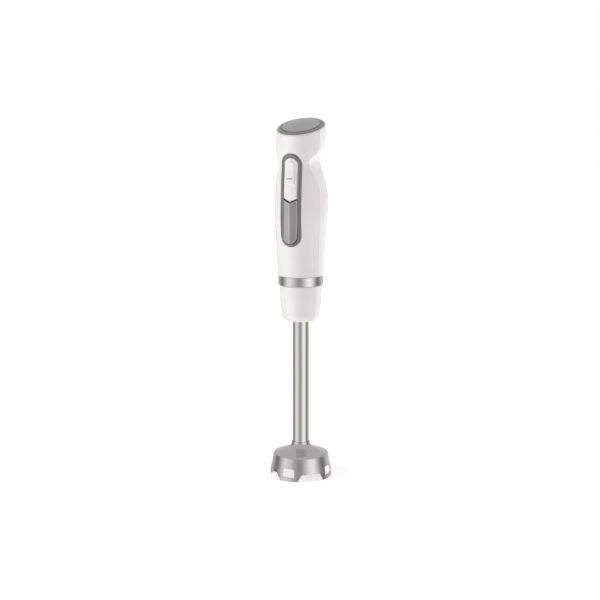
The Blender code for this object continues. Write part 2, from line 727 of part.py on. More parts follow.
def build_cord_inlet():
    inlet = Z_TOP - INLET_DROP
    wall = REAR_HEAD_DEPTH + GAP
    profile = [
        (GLAND_RADIUS, -GLAND_LENGTH),
        (GLAND_BORE, -GLAND_LENGTH),
        (GLAND_BORE, GLAND_FLANGE),
        (GLAND_FLANGE_RADIUS - GLAND_FLANGE / 2, GLAND_FLANGE),
        (GLAND_FLANGE_RADIUS, GLAND_FLANGE / 2),
        (GLAND_FLANGE_RADIUS, 0.0),
        (GLAND_RADIUS, 0.0),
    ]
    gland = turned("cord_gland", profile, "rubber", 24)
    point_along_y(gland, (0.0, wall, inlet))

    level = Z_TOP - CLAMP_DROP
    face = BOSS_FACE - GAP
    low = (-CLAMP_HALF_LENGTH, face - CLAMP_THICKNESS, level - CLAMP_HEIGHT / 2)
    high = (CLAMP_HALF_LENGTH, face, level + CLAMP_HEIGHT / 2)
    clamp = add_part("cord_clamp", block_mesh("cord_clamp", low, high), "natural_plastic")
    for side, name in ((-1, "left"), (1, "right")):
        x = side * CLAMP_SPACING
        ends = ((x, face - 2 * CLAMP_THICKNESS, level), (x, face + CLAMP_THICKNESS, level))
        hole = rod_mesh(f"clamp_hole_{name}", SCREW_RADIUS + GAP, *ends, 12)
        cut(clamp, add_cutter(f"clamp_hole_{name}", hole))
        head = face - CLAMP_THICKNESS - GAP
        screw_along_y(f"clamp_screw_{name}", x, head, level, CLAMP_THICKNESS * 2.2)


def screw_along_y(name, x, under_head, z, length):
    """A cap screw pointing along +Y, its head ending at y = under_head."""
    profile = [
        (0.0, length),
        (SCREW_RADIUS, length),
        (SCREW_RADIUS, 0.0),
        (SCREW_HEAD_RADIUS, 0.0),
        (SCREW_HEAD_RADIUS, -SCREW_HEAD_HEIGHT),
        (0.0, -SCREW_HEAD_HEIGHT),
    ]
    point_along_y(turned(name, profile, "satin_steel", 12), (x, under_head, z))


# ---- Switch panel ---------------------------------------------------------------------
def opening_span():
    low, high = panel_span()
    return low + FRAME_BOTTOM, high - FRAME_TOP


def build_panel_frame():
    low, high = panel_span()
    outer = stadium(PANEL_HALF_WIDTH, low, high, FRAME_SIDE_STEPS)
    inner = stadium(PANEL_HALF_WIDTH - FRAME_SIDE, *opening_span(), FRAME_SIDE_STEPS)
    rings = [
        [on_front(x, z, -PANEL_DEPTH) for x, z in outer],
        [on_front(x, z, 0.0) for x, z in outer],
        [on_front(x * 0.97, z, PANEL_PROUD) for x, z in outer],
        [on_front(x, z, PANEL_PROUD) for x, z in inner],
        [on_front(x, z, -PANEL_DEPTH) for x, z in inner],
    ]
    add_part("panel_frame", lofted_mesh("panel_frame", rings, closed_loop=True), "dark_grey")


def button_mesh(name, low_edge, high_edge, rise):
    """A button wrapped on the casing's front, between two edges given as z of x."""
    half = PANEL_HALF_WIDTH - FRAME_SIDE - GAP
    columns = 8
    rows = 9
    outer = []
    inner = []
    for r in range(rows + 1):
        front_row = []
        back_row = []
        for c in range(columns + 1):
            x = half * math.sin(math.radians(90.0) * (2.0 * c / columns - 1.0))
            z = low_edge(x) + (high_edge(x) - low_edge(x)) * r / rows
            edge = r in (0, rows) or c in (0, columns)
            front_row.append(on_front(x, z, 0.0 if edge else rise(x, z)))
            back_row.append(on_front(x, z, -BUTTON_DEPTH))
        outer.append(front_row)
        inner.append(back_row)
    return slab_mesh(name, outer, inner)


def build_buttons():
    half = PANEL_HALF_WIDTH - FRAME_SIDE - GAP
    low, high = opening_span()
    split = panel_span()[1] - BUTTON_SPLIT

    def round_top(x):
        return high - GAP - half + math.sqrt(max(half**2 - x**2, 0.0))

    def round_bottom(x):
        return low + GAP + half - math.sqrt(max(half**2 - x**2, 0.0))

    def v_edge(x):
        return split - BUTTON_V_DEPTH * (0.5 - abs(x) / half)

    pad_top = high - half / 2

    def upper_rise(x, z):
        across = 1.0 - smooth_step((abs(x) - THUMB_PAD_HALF_WIDTH + RIDGE_RISE) / (2.5 * RIDGE_RISE))
        along = 1.0 - smooth_step((pad_top - z - THUMB_PAD_LENGTH) / (3 * RIDGE_RISE))
        return BUTTON_PROUD + THUMB_PAD_RISE * across * along

    def lower_rise(x, z):
        return BUTTON_PROUD + RIDGE_RISE * (1.0 - abs(x) / half)

    def lower_edge_of_upper(x):
        return v_edge(x) + BUTTON_V_GAP / 2

    def upper_edge_of_lower(x):
        return v_edge(x) - BUTTON_V_GAP / 2

    upper = button_mesh("on_button", lower_edge_of_upper, round_top, upper_rise)
    lower = button_mesh("turbo_button", round_bottom, upper_edge_of_lower, lower_rise)
    panel_top = panel_span()[1]
    buttons = (
        ("on", upper, "gloss_white", panel_top - ON_SWITCH_DROP),
        ("turbo", lower, "mid_grey", panel_top - TURBO_SWITCH_DROP),
    )
    for name, mesh, finish, level in buttons:
        origin = (0.0, -front_radius(level), level)
        button = add_part(f"{name}_button", mesh, finish, origin)
        inside = front_radius(level) - BUTTON_DEPTH / 2
        corner_a = (-STEM_SIZE / 2, -inside, level - STEM_SIZE / 2)
        corner_b = (STEM_SIZE / 2, -STEM_END, level + STEM_SIZE / 2)
        stem = block_mesh(f"{name}_stem", corner_a, corner_b)
        join(button, add_cutter(f"{name}_stem", stem))
        build_switch(name, level)


def build_switch(name, level):
    """A microswitch and its plunger, which the button's stem pushes along +Y."""
    back = -SWITCH_FACE + SWITCH_DEPTH
    low = (-SWITCH_WIDTH / 2, -SWITCH_FACE, level - SWITCH_LENGTH / 2)
    high = (SWITCH_WIDTH / 2, back, level + SWITCH_LENGTH / 2)
    switch = add_part(f"{name}_switch", block_mesh(f"{name}_switch", low, high), "black_plastic")
    tip = -STEM_END + GAP + PLUNGER_LENGTH
    ends = ((0.0, -STEM_END, level), (0.0, tip + BUTTON_TRAVEL + GAP, level))
    hole = rod_mesh(f"{name}_plunger_hole", PLUNGER_RADIUS + GAP, *ends, 12)
    cut(switch, add_cutter(f"{name}_plunger_hole", hole))
    ends = ((0.0, -STEM_END + GAP, level), (0.0, tip, level))
    plunger = rod_mesh(f"{name}_plunger", PLUNGER_RADIUS, *ends, 12)
    add_part(f"{name}_plunger", plunger, "natural_plastic", ends[0])


def build_board():
    panel_top = panel_span()[1]
    front = -SWITCH_FACE + SWITCH_DEPTH + GAP
    high = panel_top - BOARD_TOP_DROP
    low = high - BOARD_LENGTH
    corner_a = (-BOARD_HALF_WIDTH, front, low)
    corner_b = (BOARD_HALF_WIDTH, front + BOARD_THICKNESS, high)
    board = add_part("switch_board", block_mesh("switch_board", corner_a, corner_b), "board_green")
    chassis_front = front + BOARD_THICKNESS + GAP
    chassis_back = chassis_front + CHASSIS_DEPTH
    web = CHASSIS_HALF_WIDTH - CHASSIS_WALL
    outline = [
        (-CHASSIS_HALF_WIDTH, chassis_front),
        (CHASSIS_HALF_WIDTH, chassis_front),
        (CHASSIS_HALF_WIDTH, chassis_back),
        (web, chassis_back),
        (web, chassis_front + CHASSIS_WALL),
        (-web, chassis_front + CHASSIS_WALL),
        (-web, chassis_back),
        (-CHASSIS_HALF_WIDTH, chassis_back),
    ]
    chassis_mesh = prism_mesh("inner_chassis", outline, low - GAP, high + SCREW_HEAD_RADIUS)
    chassis = add_part("inner_chassis", chassis_mesh, "natural_plastic")
    for name, drop in BOARD_SCREW_DROPS.items():
        level = panel_top - drop
        ends = ((0.0, front - CHASSIS_WALL, level), (0.0, chassis_front + 2 * CHASSIS_WALL, level))
        hole = rod_mesh(f"board_hole_{name}", SCREW_RADIUS + GAP, *ends, 12)
        tool = add_cutter(f"board_hole_{name}", hole)
        cut(board, tool)
        cut(chassis, tool)
        screw_along_y(f"board_screw_{name}", 0.0, front - GAP, level, CHASSIS_WALL + BOARD_THICKNESS)


# ---- Top ------------------------------------------------------------------------------
def build_top_rim():
    """The rim seats on the casing's inner edge and holds the dial in a round recess."""
    front, rear = case_outline(Z_TOP)
    outline = inset_outline(front + rear, RIM_INSET)
    lip = inset_outline(outline, RIM_CHAMFER)
    lift = Vector((0.0, -math.sin(TOP_TILT), math.cos(TOP_TILT)))

    def on_plane(points, height):
        slope = math.tan(TOP_TILT)
        return [Vector((p.x, p.y, Z_TOP + p.y * slope)) + lift * height for p in points]

    def circle(radius, height):
        points = []
        for p in outline:
            angle = math.atan2(p.x, -p.y)
            points.append(top_point(radius * math.sin(angle), -radius * math.cos(angle), height))
        return points

    recess = DIAL_RADIUS + DIAL_CLEARANCE
    bore = POT_SHAFT_RADIUS + GAP
    rings = [
        on_plane(outline, 0.0),
        on_plane(outline, RIM_PROUD - RIM_CHAMFER),
        on_plane(lip, RIM_PROUD),
        circle(recess, RIM_PROUD),
        circle(recess, -DIAL_RECESS),
        circle(bore, -DIAL_RECESS),
        circle(bore, -DIAL_RECESS - RIM_FLOOR),
        circle(recess + RIM_SPIGOT_WALL, -DIAL_RECESS - RIM_FLOOR),
        circle(recess + RIM_SPIGOT_WALL, 0.0),
    ]
    add_part("top_rim", lofted_mesh("top_rim", rings, closed_loop=True), "dark_grey")


def build_dial():
    bore = POT_SHAFT_RADIUS + GAP
    bottom = DIAL_CLEARANCE - DIAL_RECESS
    roof = DIAL_PROUD - DIAL_CROWN
    dish_edge = DIAL_RADIUS - 2 * DIAL_CHAMFER
    profile = [
        (0.0, DIAL_PROUD - DIAL_DISH),
        (dish_edge - DIAL_DISH, DIAL_PROUD - DIAL_DISH),
        (dish_edge, DIAL_PROUD),
        (DIAL_RADIUS - DIAL_CHAMFER, DIAL_PROUD),
        (DIAL_RADIUS, DIAL_PROUD - DIAL_CHAMFER),
        (DIAL_RADIUS, bottom),
        (DIAL_RADIUS - DIAL_SKIRT, bottom),
        (DIAL_RADIUS - DIAL_SKIRT, roof),
        (bore + DIAL_SKIRT, roof),
        (bore + DIAL_SKIRT, bottom),
        (bore, bottom),
        (bore, roof),
        (0.0, roof),
    ]
    tilt_to_top(turned("speed_dial", profile, "mid_grey", 28), 0.0)
    pot_top = -DIAL_RECESS - RIM_FLOOR - GAP
    pot_floor = pot_top - POT_HEIGHT
    cavity = pot_top - POT_SHAFT_DEPTH - GAP
    pot = turned_with_bore("speed_control", POT_RADIUS, bore, pot_floor, cavity, pot_top, "black_plastic")
    tilt_to_top(pot, 0.0)
    shaft = [
        (0.0, roof - GAP),
        (POT_SHAFT_RADIUS, roof - GAP),
        (POT_SHAFT_RADIUS, cavity + GAP),
        (0.0, cavity + GAP),
    ]
    tilt_to_top(turned("speed_control_shaft", shaft, "natural_plastic", 20), 0.0)


def turned_with_bore(name, radius, bore, low, bore_low, high, finish):
    """A round body with a blind bore from above."""
    profile = [(0.0, bore_low), (bore, bore_low), (bore, high), (radius, high), (radius, low), (0.0, low)]
    return turned(name, profile, finish, 24)


# ---- Band, socket and locking ring ----------------------------------------------------
def socket_heights():
    """Heights of the lip's top, the groove's top and the shelf's top."""
    lip = Z_BAND + SOCKET_LIP
    groove = lip + SOCKET_GROOVE
    return lip, groove, groove + SOCKET_SHELF


def lug_radius():
    return NECK_RADIUS + LUG_REACH


def neck_bore():
    return NECK_RADIUS - NECK_WALL


def coupling_radii():
    """Outer radius of the motor coupling and radius of its cavity."""
    outer = neck_bore() - COUPLING_CLEARANCE
    return outer, outer - COUPLING_WALL


def build_socket():
    band = ring_profile(BAND_RADIUS - BAND_WALL, BAND_RADIUS, Z_BAND, Z_BAND + BAND_HEIGHT)
    turned("trim_band", band, "bright_steel", 36)
    outer = BAND_RADIUS - BAND_WALL - GAP
    mouth = NECK_RADIUS + SOCKET_CLEARANCE
    groove_radius = lug_radius() + SOCKET_CLEARANCE
    shelf_bore = neck_bore() + SHELF_MARGIN
    lip, groove, shelf = socket_heights()
    rim = shelf + SOCKET_RIM
    profile = [
        (outer, rim),
        (outer, Z_BAND),
        (mouth, Z_BAND),
        (mouth, lip),
        (groove_radius, lip),
        (groove_radius, groove),
        (shelf_bore, groove),
        (shelf_bore, shelf),
        (outer - SOCKET_RIM_WALL, shelf),
        (outer - SOCKET_RIM_WALL, rim),
    ]
    socket = turned("bayonet_socket", profile, "black_plastic", 30)
    for i in range(LUGS):
        name = f"lug_slot_{i}"
        low = Z_BAND - SOCKET_LIP
        wedge = wedge_mesh(name, NECK_RADIUS - LUG_REACH, groove_radius, SLOT_HALF_ANGLE,
                           low, lip + SOCKET_CLEARANCE, math.tau * i / LUGS)
        cut(socket, add_cutter(name, wedge))
    ring_low = neck_top() + GAP * 2
    ring = ring_profile(shelf_bore, groove_radius - GAP, ring_low, ring_low + LOCK_RING_THICKNESS)
    turned("lock_spring_ring", ring, "satin_steel", 30)


def wedge_mesh(name, inner, outer, half_angle, low, high, turn):
    """A sector of a ring, centred on an angle from the front."""
    outline = []
    for i in range(5):
        outline.append(polar(outer, turn + half_angle * (i / 2 - 1)))
    for i in range(5):
        outline.append(polar(inner, turn + half_angle * (1 - i / 2)))
    return prism_mesh(name, [(p.x, p.y) for p in outline], low, high)


def neck_top():
    return Z_BAND - 2 * GAP + NECK_RISE


# ---- Foot -----------------------------------------------------------------------------
def tube_span():
    return Z_FLARE - TUBE_IN_GUARD, Z_COLLAR + TUBE_IN_COLLAR


def build_collar():
    top = Z_COLLAR + COLLAR_HEIGHT
    mid = top - COLLAR_MID_DROP
    low = Z_COLLAR + COLLAR_ROUNDING
    bore = TUBE_RADIUS + GAP
    sleeve = bore + SLEEVE_WALL
    rounding = (COLLAR_LOW_RADIUS - COLLAR_BASE_RADIUS, COLLAR_ROUNDING)
    outer = [(COLLAR_TOP_RADIUS, top), (COLLAR_MID_RADIUS, mid)]
    outer += arc((COLLAR_BASE_RADIUS, low), rounding, 0.0, -90.0, 5)
    inner = [
        (bore, Z_COLLAR),
        (bore, Z_COLLAR + SLEEVE_HEIGHT),
        (sleeve, Z_COLLAR + SLEEVE_HEIGHT),
        (sleeve, Z_COLLAR + COLLAR_FLOOR),
        (COLLAR_BASE_RADIUS, Z_COLLAR + COLLAR_FLOOR),
        (COLLAR_LOW_RADIUS - COLLAR_WALL, low),
        (COLLAR_MID_RADIUS - COLLAR_WALL, mid),
        (COLLAR_TOP_RADIUS - COLLAR_WALL, top),
    ]
    turned("foot_collar", outer + inner, "gloss_white", 28)
    seal_low = Z_COLLAR + SLEEVE_HEIGHT + GAP
    seal = ring_profile(bore, bore + TUBE_SEAL_WALL, seal_low, seal_low + TUBE_SEAL_HEIGHT)
    turned("tube_seal", seal, "rubber", 24)


def build_neck():
    bore = TUBE_RADIUS + GAP
    deck = Z_COLLAR + COLLAR_HEIGHT - GAP
    deck_radius = COLLAR_TOP_RADIUS - COLLAR_WALL - 2 * GAP
    low = Z_COLLAR + SLEEVE_HEIGHT + TUBE_SEAL_HEIGHT + 2 * GAP
    inner = neck_bore()
    grip = low + NECK_GRIP_DEPTH
    grip_radius = inner + NECK_GRIP_WALL
    profile = [
        (NECK_RADIUS, neck_top()),
        (NECK_RADIUS, deck),
        (deck_radius, deck),
        (deck_radius, deck - NECK_DECK),
        (grip_radius, deck - NECK_DECK),
        (grip_radius, low),
        (bore, low),
        (bore, grip),
        (inner, grip + NECK_CONE),
        (inner, neck_top()),
    ]
    neck = turned("foot_neck", profile, "black_plastic", 28)
    high = neck_top() - GAP
    for i in range(LUGS):
        name = f"lug_{i}"
        wedge = wedge_mesh(name, NECK_RADIUS - NECK_WALL / 2, lug_radius(), LUG_HALF_ANGLE,
                           high - LUG_HEIGHT, high, math.tau * i / LUGS)
        join(neck, add_cutter(name, wedge))


def build_tube():
    low, high = tube_span()
    tube = ring_profile(TUBE_RADIUS - TUBE_WALL, TUBE_RADIUS, low, high)
    turned("shaft_tube", tube, "bright_steel", 32)
    bush_high = high - GAP
    bush_outer = TUBE_RADIUS - TUBE_WALL - GAP
    bush = ring_profile(SHAFT_RADIUS + GAP, bush_outer, bush_high - UPPER_BUSH_LENGTH, bush_high)
    turned("upper_bush", bush, "bronze", 20)


def skirt_points(inset, count=3):
    """The skirt from the shoulder fillet down to the rim."""
    top = Z_SHOULDER - SHOULDER_FILLET
    points = []
    for i in range(1, count + 1):
        share = i / count
        spread = (GUARD_RIM_RADIUS - GUARD_SHOULDER_RADIUS) * share**SKIRT_CURVE
        points.append((GUARD_SHOULDER_RADIUS + spread - inset, top + (Z_RIM - top) * share))
    return points


def build_guard():
    """The blade guard: flare, dome, shoulder, skirt and feet with windows."""
    flare_centre = (TUBE_RADIUS + FLARE_EDGE + FLARE_FILLET, Z_FLARE)
    shoulder_centre = (GUARD_SHOULDER_RADIUS - SHOULDER_FILLET, Z_SHOULDER - SHOULDER_FILLET)
    flat = math.atan2(Z_FLARE - FLARE_FILLET - Z_SHOULDER, shoulder_centre[0] - flare_centre[0])
    lean = math.degrees(flat)
    bore = TUBE_RADIUS + GAP
    outer = arc(flare_centre, (FLARE_FILLET, FLARE_FILLET), 180.0, 270.0 - lean, 5)
    outer += arc(shoulder_centre, (SHOULDER_FILLET, SHOULDER_FILLET), 90.0 - lean, 0.0, 4)
    outer += skirt_points(0.0)
    outer.append((GUARD_RIM_RADIUS, 0.0))
    inner_fillet = SHOULDER_FILLET - GUARD_WALL
    inner_flare = FLARE_FILLET + GUARD_WALL
    inner = [(GUARD_RIM_RADIUS - GUARD_WALL, 0.0)]
    inner += reversed(skirt_points(GUARD_WALL))
    inner += arc(shoulder_centre, (inner_fillet, inner_fillet), 0.0, 90.0 - lean, 3)
    start = math.degrees(math.acos((flare_centre[0] - bore) / inner_flare))
    inner += arc(flare_centre, (inner_flare, inner_flare), 270.0 - lean, 180.0 + start, 4)
    inner.append((bore, Z_FLARE))
    guard = turned("blade_guard", outer + inner, "satin_steel", 32)

    reach = GUARD_RIM_RADIUS * 1.4
    quarter = math.pi / FEET
    half_top = GUARD_RIM_RADIUS * math.sin(quarter - FOOT_SPREAD_TOP)
    half_bottom = GUARD_RIM_RADIUS * math.sin(quarter - FOOT_SPREAD_BOTTOM)
    slope = (half_bottom - half_top) / FOOT_HEIGHT
    notch = [
        (-half_bottom - slope * GUARD_WALL, -GUARD_WALL),
        (half_bottom + slope * GUARD_WALL, -GUARD_WALL),
        (half_top, Z_RIM),
        (-half_top, Z_RIM),
    ]
    window = [
        (-WINDOW_HALF_WIDTH, WINDOW_SILL),
        (WINDOW_HALF_WIDTH, WINDOW_SILL),
        (WINDOW_TOP_HALF_WIDTH, WINDOW_SILL + WINDOW_HEIGHT),
        (-WINDOW_TOP_HALF_WIDTH, WINDOW_SILL + WINDOW_HEIGHT),
    ]
    for i in range(FEET // 2):
        turn = math.pi / 2 * i
        for name, outline, angle in (("notch", notch, turn + quarter), ("window", window, turn)):
            rings = []
            for depth in (-reach, reach):
                along = polar(depth, angle)
                across = polar(1.0, angle + math.pi / 2)
                rings.append([(along.x + across.x * u, along.y + across.y * u, z) for u, z in outline])
            tool = add_cutter(f"{name}_{i}", lofted_mesh(f"{name}_{i}", rings))
            cut(guard, tool)


def build_hub():
    low, _ = tube_span()
    shoulder = low - GAP
    spigot = TUBE_RADIUS - TUBE_WALL - GAP
    top = low + HUB_SPIGOT
    seat = BUSH_RADIUS + GAP
    bore = SHAFT_RADIUS + 1.5 * GAP
    seal_seat = SEAL_RADIUS + GAP
    skirt = shoulder - (HUB_SKIRT_RADIUS - TUBE_RADIUS)
    seal_top = HUB_BOTTOM + SEAL_HEIGHT + 2 * GAP
    bush_low = top - BUSH_LENGTH
    profile = [
        (spigot, top),
        (spigot, shoulder),
        (TUBE_RADIUS, shoulder),
        (HUB_SKIRT_RADIUS, skirt),
        (HUB_SKIRT_RADIUS, skirt - GUARD_WALL),
        (HUB_TIP_RADIUS, HUB_BOTTOM + GUARD_WALL),
        (HUB_TIP_RADIUS, HUB_BOTTOM),
        (seal_seat, HUB_BOTTOM),
        (seal_seat, seal_top),
        (bore, seal_top),
        (bore, bush_low - GAP),
        (seat, bush_low - GAP),
        (seat, top),
    ]
    turned("hub_housing", profile, "natural_plastic", 20)
    shaft_clear = SHAFT_RADIUS + GAP
    turned("lower_bush", ring_profile(shaft_clear, BUSH_RADIUS, bush_low, top - GAP), "bronze", 20)
    seal_low = HUB_BOTTOM + GAP
    seal = ring_profile(shaft_clear, SEAL_RADIUS, seal_low, seal_low + SEAL_HEIGHT)
    turned("shaft_seal", seal, "rubber", 20)


# ---- Blade and drive ------------------------------------------------------------------
def build_blade():
    clear = SHAFT_RADIUS + GAP
    rings = []
    for i in range(-6, 7):
        share = i / 6
        x = BLADE_REACH * share
        width = BLADE_ROOT_WIDTH + (BLADE_TIP_WIDTH - BLADE_ROOT_WIDTH) * abs(share)
        lift = BLADE_TIP_LIFT * share * abs(share)
        pitch = math.tan(BLADE_PITCH) * share
        sweep = BLADE_TIP_WIDTH / 3 * share * abs(share)
        ring = []
        for across, up in ((-0.5, -0.25), (0.5, -0.5), (0.5, 0.5), (-0.5, 0.0)):
            y = width * across + sweep
            ring.append((x, y, BLADE_LEVEL + lift + y * pitch + BLADE_THICKNESS * up))
        rings.append(ring)
    blade = add_part("blade", lofted_mesh("blade", rings), "bright_steel")
    low = BLADE_LEVEL - BLADE_HUB_HEIGHT / 2
    high = BLADE_LEVEL + BLADE_HUB_HEIGHT / 2
    hub = rod_mesh("blade_hub", BLADE_HUB_RADIUS, (0.0, 0.0, low), (0.0, 0.0, high), 24)
    join(blade, add_cutter("blade_hub", hub))
    bore = rod_mesh("blade_bore", clear, (0.0, 0.0, 0.0), (0.0, 0.0, 2 * BLADE_LEVEL), 20)
    cut(blade, add_cutter("blade_bore", bore))
    sides = 6
    nut_bore = clear / math.cos(math.pi / sides)
    nut = ring_profile(nut_bore, NUT_RADIUS, low - GAP - NUT_HEIGHT, low - GAP)
    turned("blade_nut", nut, "satin_steel", sides)


def coupling_heights():
    """Bottom of the motor coupling and top of the driven coupling."""
    motor_low = Z_BAND - COUPLING_OVERLAP + COUPLING_RIB_WIDTH * 3
    return motor_low, motor_low + COUPLING_OVERLAP


def build_drive():
    motor_low, driven_top = coupling_heights()
    blade_low = BLADE_LEVEL - BLADE_HUB_HEIGHT / 2 - NUT_HEIGHT - 2 * GAP
    shaft = [
        (0.0, driven_top - GAP),
        (SHAFT_RADIUS, driven_top - GAP),
        (SHAFT_RADIUS, blade_low),
        (0.0, blade_low),
    ]
    turned("drive_shaft", shaft, "satin_steel", 16)
    clear = SHAFT_RADIUS + GAP
    driven_low = tube_span()[1] + 2 * GAP
    flange = TUBE_RADIUS + GAP - DRIVEN_FLANGE_CLEARANCE
    profile = [
        (DRIVEN_HUB_RADIUS, driven_top),
        (DRIVEN_HUB_RADIUS, driven_low + DRIVEN_FLANGE),
        (flange, driven_low + DRIVEN_FLANGE),
        (flange, driven_low),
        (clear, driven_low),
        (clear, driven_top),
    ]
    driven = turned("driven_coupling", profile, "black_plastic", 24)
    fin_low = driven_low + DRIVEN_FLANGE / 2
    rib_half = COUPLING_RIB_WIDTH / 2
    outer, cavity = coupling_radii()
    for side in (-1, 1):
        name = f"driven_fin_{side}"
        spans = sorted((side * (clear + GAP), side * (cavity - COUPLING_RIB_CLEARANCE)))
        fin = block_mesh(name, (-rib_half, spans[0], fin_low), (rib_half, spans[1], driven_top - GAP))
        join(driven, add_cutter(name, fin))

    motor_top = motor_low + COUPLING_LENGTH
    cavity_top = motor_low + COUPLING_CAVITY
    profile = [
        (outer, motor_top),
        (outer, motor_low),
        (cavity, motor_low),
        (cavity, cavity_top),
        (clear, cavity_top),
        (clear, motor_top),
    ]
    coupling = turned("motor_coupling", profile, "black_plastic", 24)
    for side in (-1, 1):
        name = f"coupling_rib_{side}"
        rib_tip = DRIVEN_HUB_RADIUS + COUPLING_RIB_CLEARANCE
        spans = sorted((side * rib_tip, side * (outer + cavity) / 2))
        low = (spans[0], -rib_half, motor_low + GAP)
        high = (spans[1], rib_half, cavity_top + GAP)
        join(coupling, add_cutter(name, block_mesh(name, low, high)))


# ---- Motor ----------------------------------------------------------------------------
def motor_heights():
    """Named heights of the motor's stack, from the socket's rim upwards."""
    h = {}
    h["mount"] = socket_heights()[2] + SOCKET_RIM + GAP
    h["plate"] = h["mount"] + MOUNT_RING_HEIGHT + GAP
    h["seat_top"] = h["plate"] + BRACKET_PLATE + BEARING_SEAT_REACH
    h["fan"] = h["seat_top"] + FAN_CLEARANCE
    h["winding"] = h["fan"] + FAN_HEIGHT + 2 * GAP
    h["core"] = h["winding"] + WINDING_END + GAP
    h["core_top"] = h["core"] + CORE_LENGTH
    h["winding_top"] = h["core_top"] + GAP + WINDING_END
    h["commutator"] = h["winding_top"] + GAP
    h["commutator_top"] = h["commutator"] + COMMUTATOR_HEIGHT
    h["upper_plate"] = h["commutator_top"] + 5 * GAP
    h["upper_plate_top"] = h["upper_plate"] + BRACKET_PLATE
    h["shaft_top"] = h["upper_plate_top"] + BOLT_HEAD_HEIGHT
    return h


def build_motor_frame():
    h = motor_heights()
    mount = ring_profile(MOUNT_RING_INNER, MOUNT_RING_OUTER, h["mount"], h["mount"] + MOUNT_RING_HEIGHT)
    turned("motor_mount_ring", mount, "rubber", 24)

    bearing_low = h["seat_top"] - LOWER_BEARING_HEIGHT
    bearing = ring_profile(SHAFT_RADIUS + GAP, LOWER_BEARING_RADIUS, bearing_low, h["seat_top"])
    turned("lower_bearing", bearing, "satin_steel", 24)
    seat = LOWER_BEARING_RADIUS + GAP
    seat_outer = seat + BEARING_SEAT_WALL
    plate_top = h["plate"] + BRACKET_PLATE
    profile = [
        (seat_outer, h["seat_top"]),
        (seat_outer, plate_top),
        (LOWER_BRACKET_RADIUS, plate_top),
        (LOWER_BRACKET_RADIUS, h["plate"]),
        (seat, h["plate"]),
        (seat, h["seat_top"]),
    ]
    lower = turned("lower_bracket", profile, "natural_plastic", 24)

    bearing_low = h["upper_plate_top"] - UPPER_BEARING_HEIGHT + GAP
    bearing_high = h["upper_plate_top"] + GAP
    bearing = ring_profile(SHAFT_RADIUS + GAP, UPPER_BEARING_RADIUS, bearing_low, bearing_high)
    turned("upper_bearing", bearing, "bronze", 20)
    seat = UPPER_BEARING_RADIUS + GAP
    plate = ring_profile(seat, UPPER_BRACKET_RADIUS, h["upper_plate"], h["upper_plate_top"])
    upper = turned("upper_bracket", plate, "natural_plastic", 24)

    for side, name in ((-1, "front"), (1, "rear")):
        y = side * BOLT_CIRCLE
        low = h["plate"] + GAP
        high = h["upper_plate_top"] + GAP
        head = high + BOLT_HEAD_HEIGHT
        profile = [
            (0.0, head),
            (BOLT_HEAD_RADIUS, head),
            (BOLT_HEAD_RADIUS, high),
            (BOLT_RADIUS, high),
            (BOLT_RADIUS, low),
            (0.0, low),
        ]
        turned(f"motor_bolt_{name}", profile, "satin_steel", 12, (0.0, y, 0.0))
        ends = ((0.0, y, h["mount"]), (0.0, y, h["shaft_top"] + BRACKET_PLATE))
        hole = rod_mesh(f"bolt_hole_{name}", BOLT_RADIUS + GAP, *ends, 12)
        tool = add_cutter(f"bolt_hole_{name}", hole)
        cut(lower, tool)
        cut(upper, tool)


def build_stator():
    h = motor_heights()
    ring_inner = STATOR_RADIUS - STATOR_RING_WALL
    ring = ring_profile(ring_inner, STATOR_RADIUS, h["core"], h["core_top"])
    stator = turned("stator_core", ring, "laminations", 28)
    bore = ARMATURE_RADIUS + AIR_GAP
    for side, name in ((-1, "left"), (1, "right")):
        outline = []
        for i in range(5):
            y = POLE_HALF_WIDTH * (1 - i / 2)
            outline.append((side * math.sqrt(bore**2 - y**2), y))
        root = ring_inner + STATOR_RING_WALL / 2
        outline += [(side * root, -POLE_HALF_WIDTH), (side * root, POLE_HALF_WIDTH)]
        pole = prism_mesh(f"pole_{name}", outline, h["core"] + GAP / 2, h["core_top"] - GAP / 2)
        join(stator, add_cutter(f"pole_{name}", pole))
        build_coil(name, side)


def build_coil(name, side):
    """A field coil: a rounded loop wound round one pole."""
    h = motor_heights()
    inner_half = POLE_HALF_WIDTH + GAP
    inner_low = h["core"] - GAP
    inner_high = h["core_top"] + GAP
    near = side * COIL_INNER
    far = side * (COIL_INNER + COIL_RADIAL)

    def loop(x, margin):
        corners = ((1, 1), (-1, 1), (-1, -1), (1, -1))
        points = []
        for u, v in corners:
            y = u * (inner_half + margin)
            z = inner_high + margin if v > 0 else inner_low - margin
            cut_back = COIL_WIDTH / 2 if margin else COIL_WIDTH / 6
            first = (x, y - u * cut_back, z)
            second = (x, y, z - v * cut_back)
            points += [first, second] if u != v else [second, first]
        return points

    rings = [loop(near, 0.0), loop(near, COIL_WIDTH), loop(far, COIL_WIDTH), loop(far, 0.0)]
    add_part(f"field_coil_{name}", lofted_mesh(f"field_coil_{name}", rings, closed_loop=True), "copper")


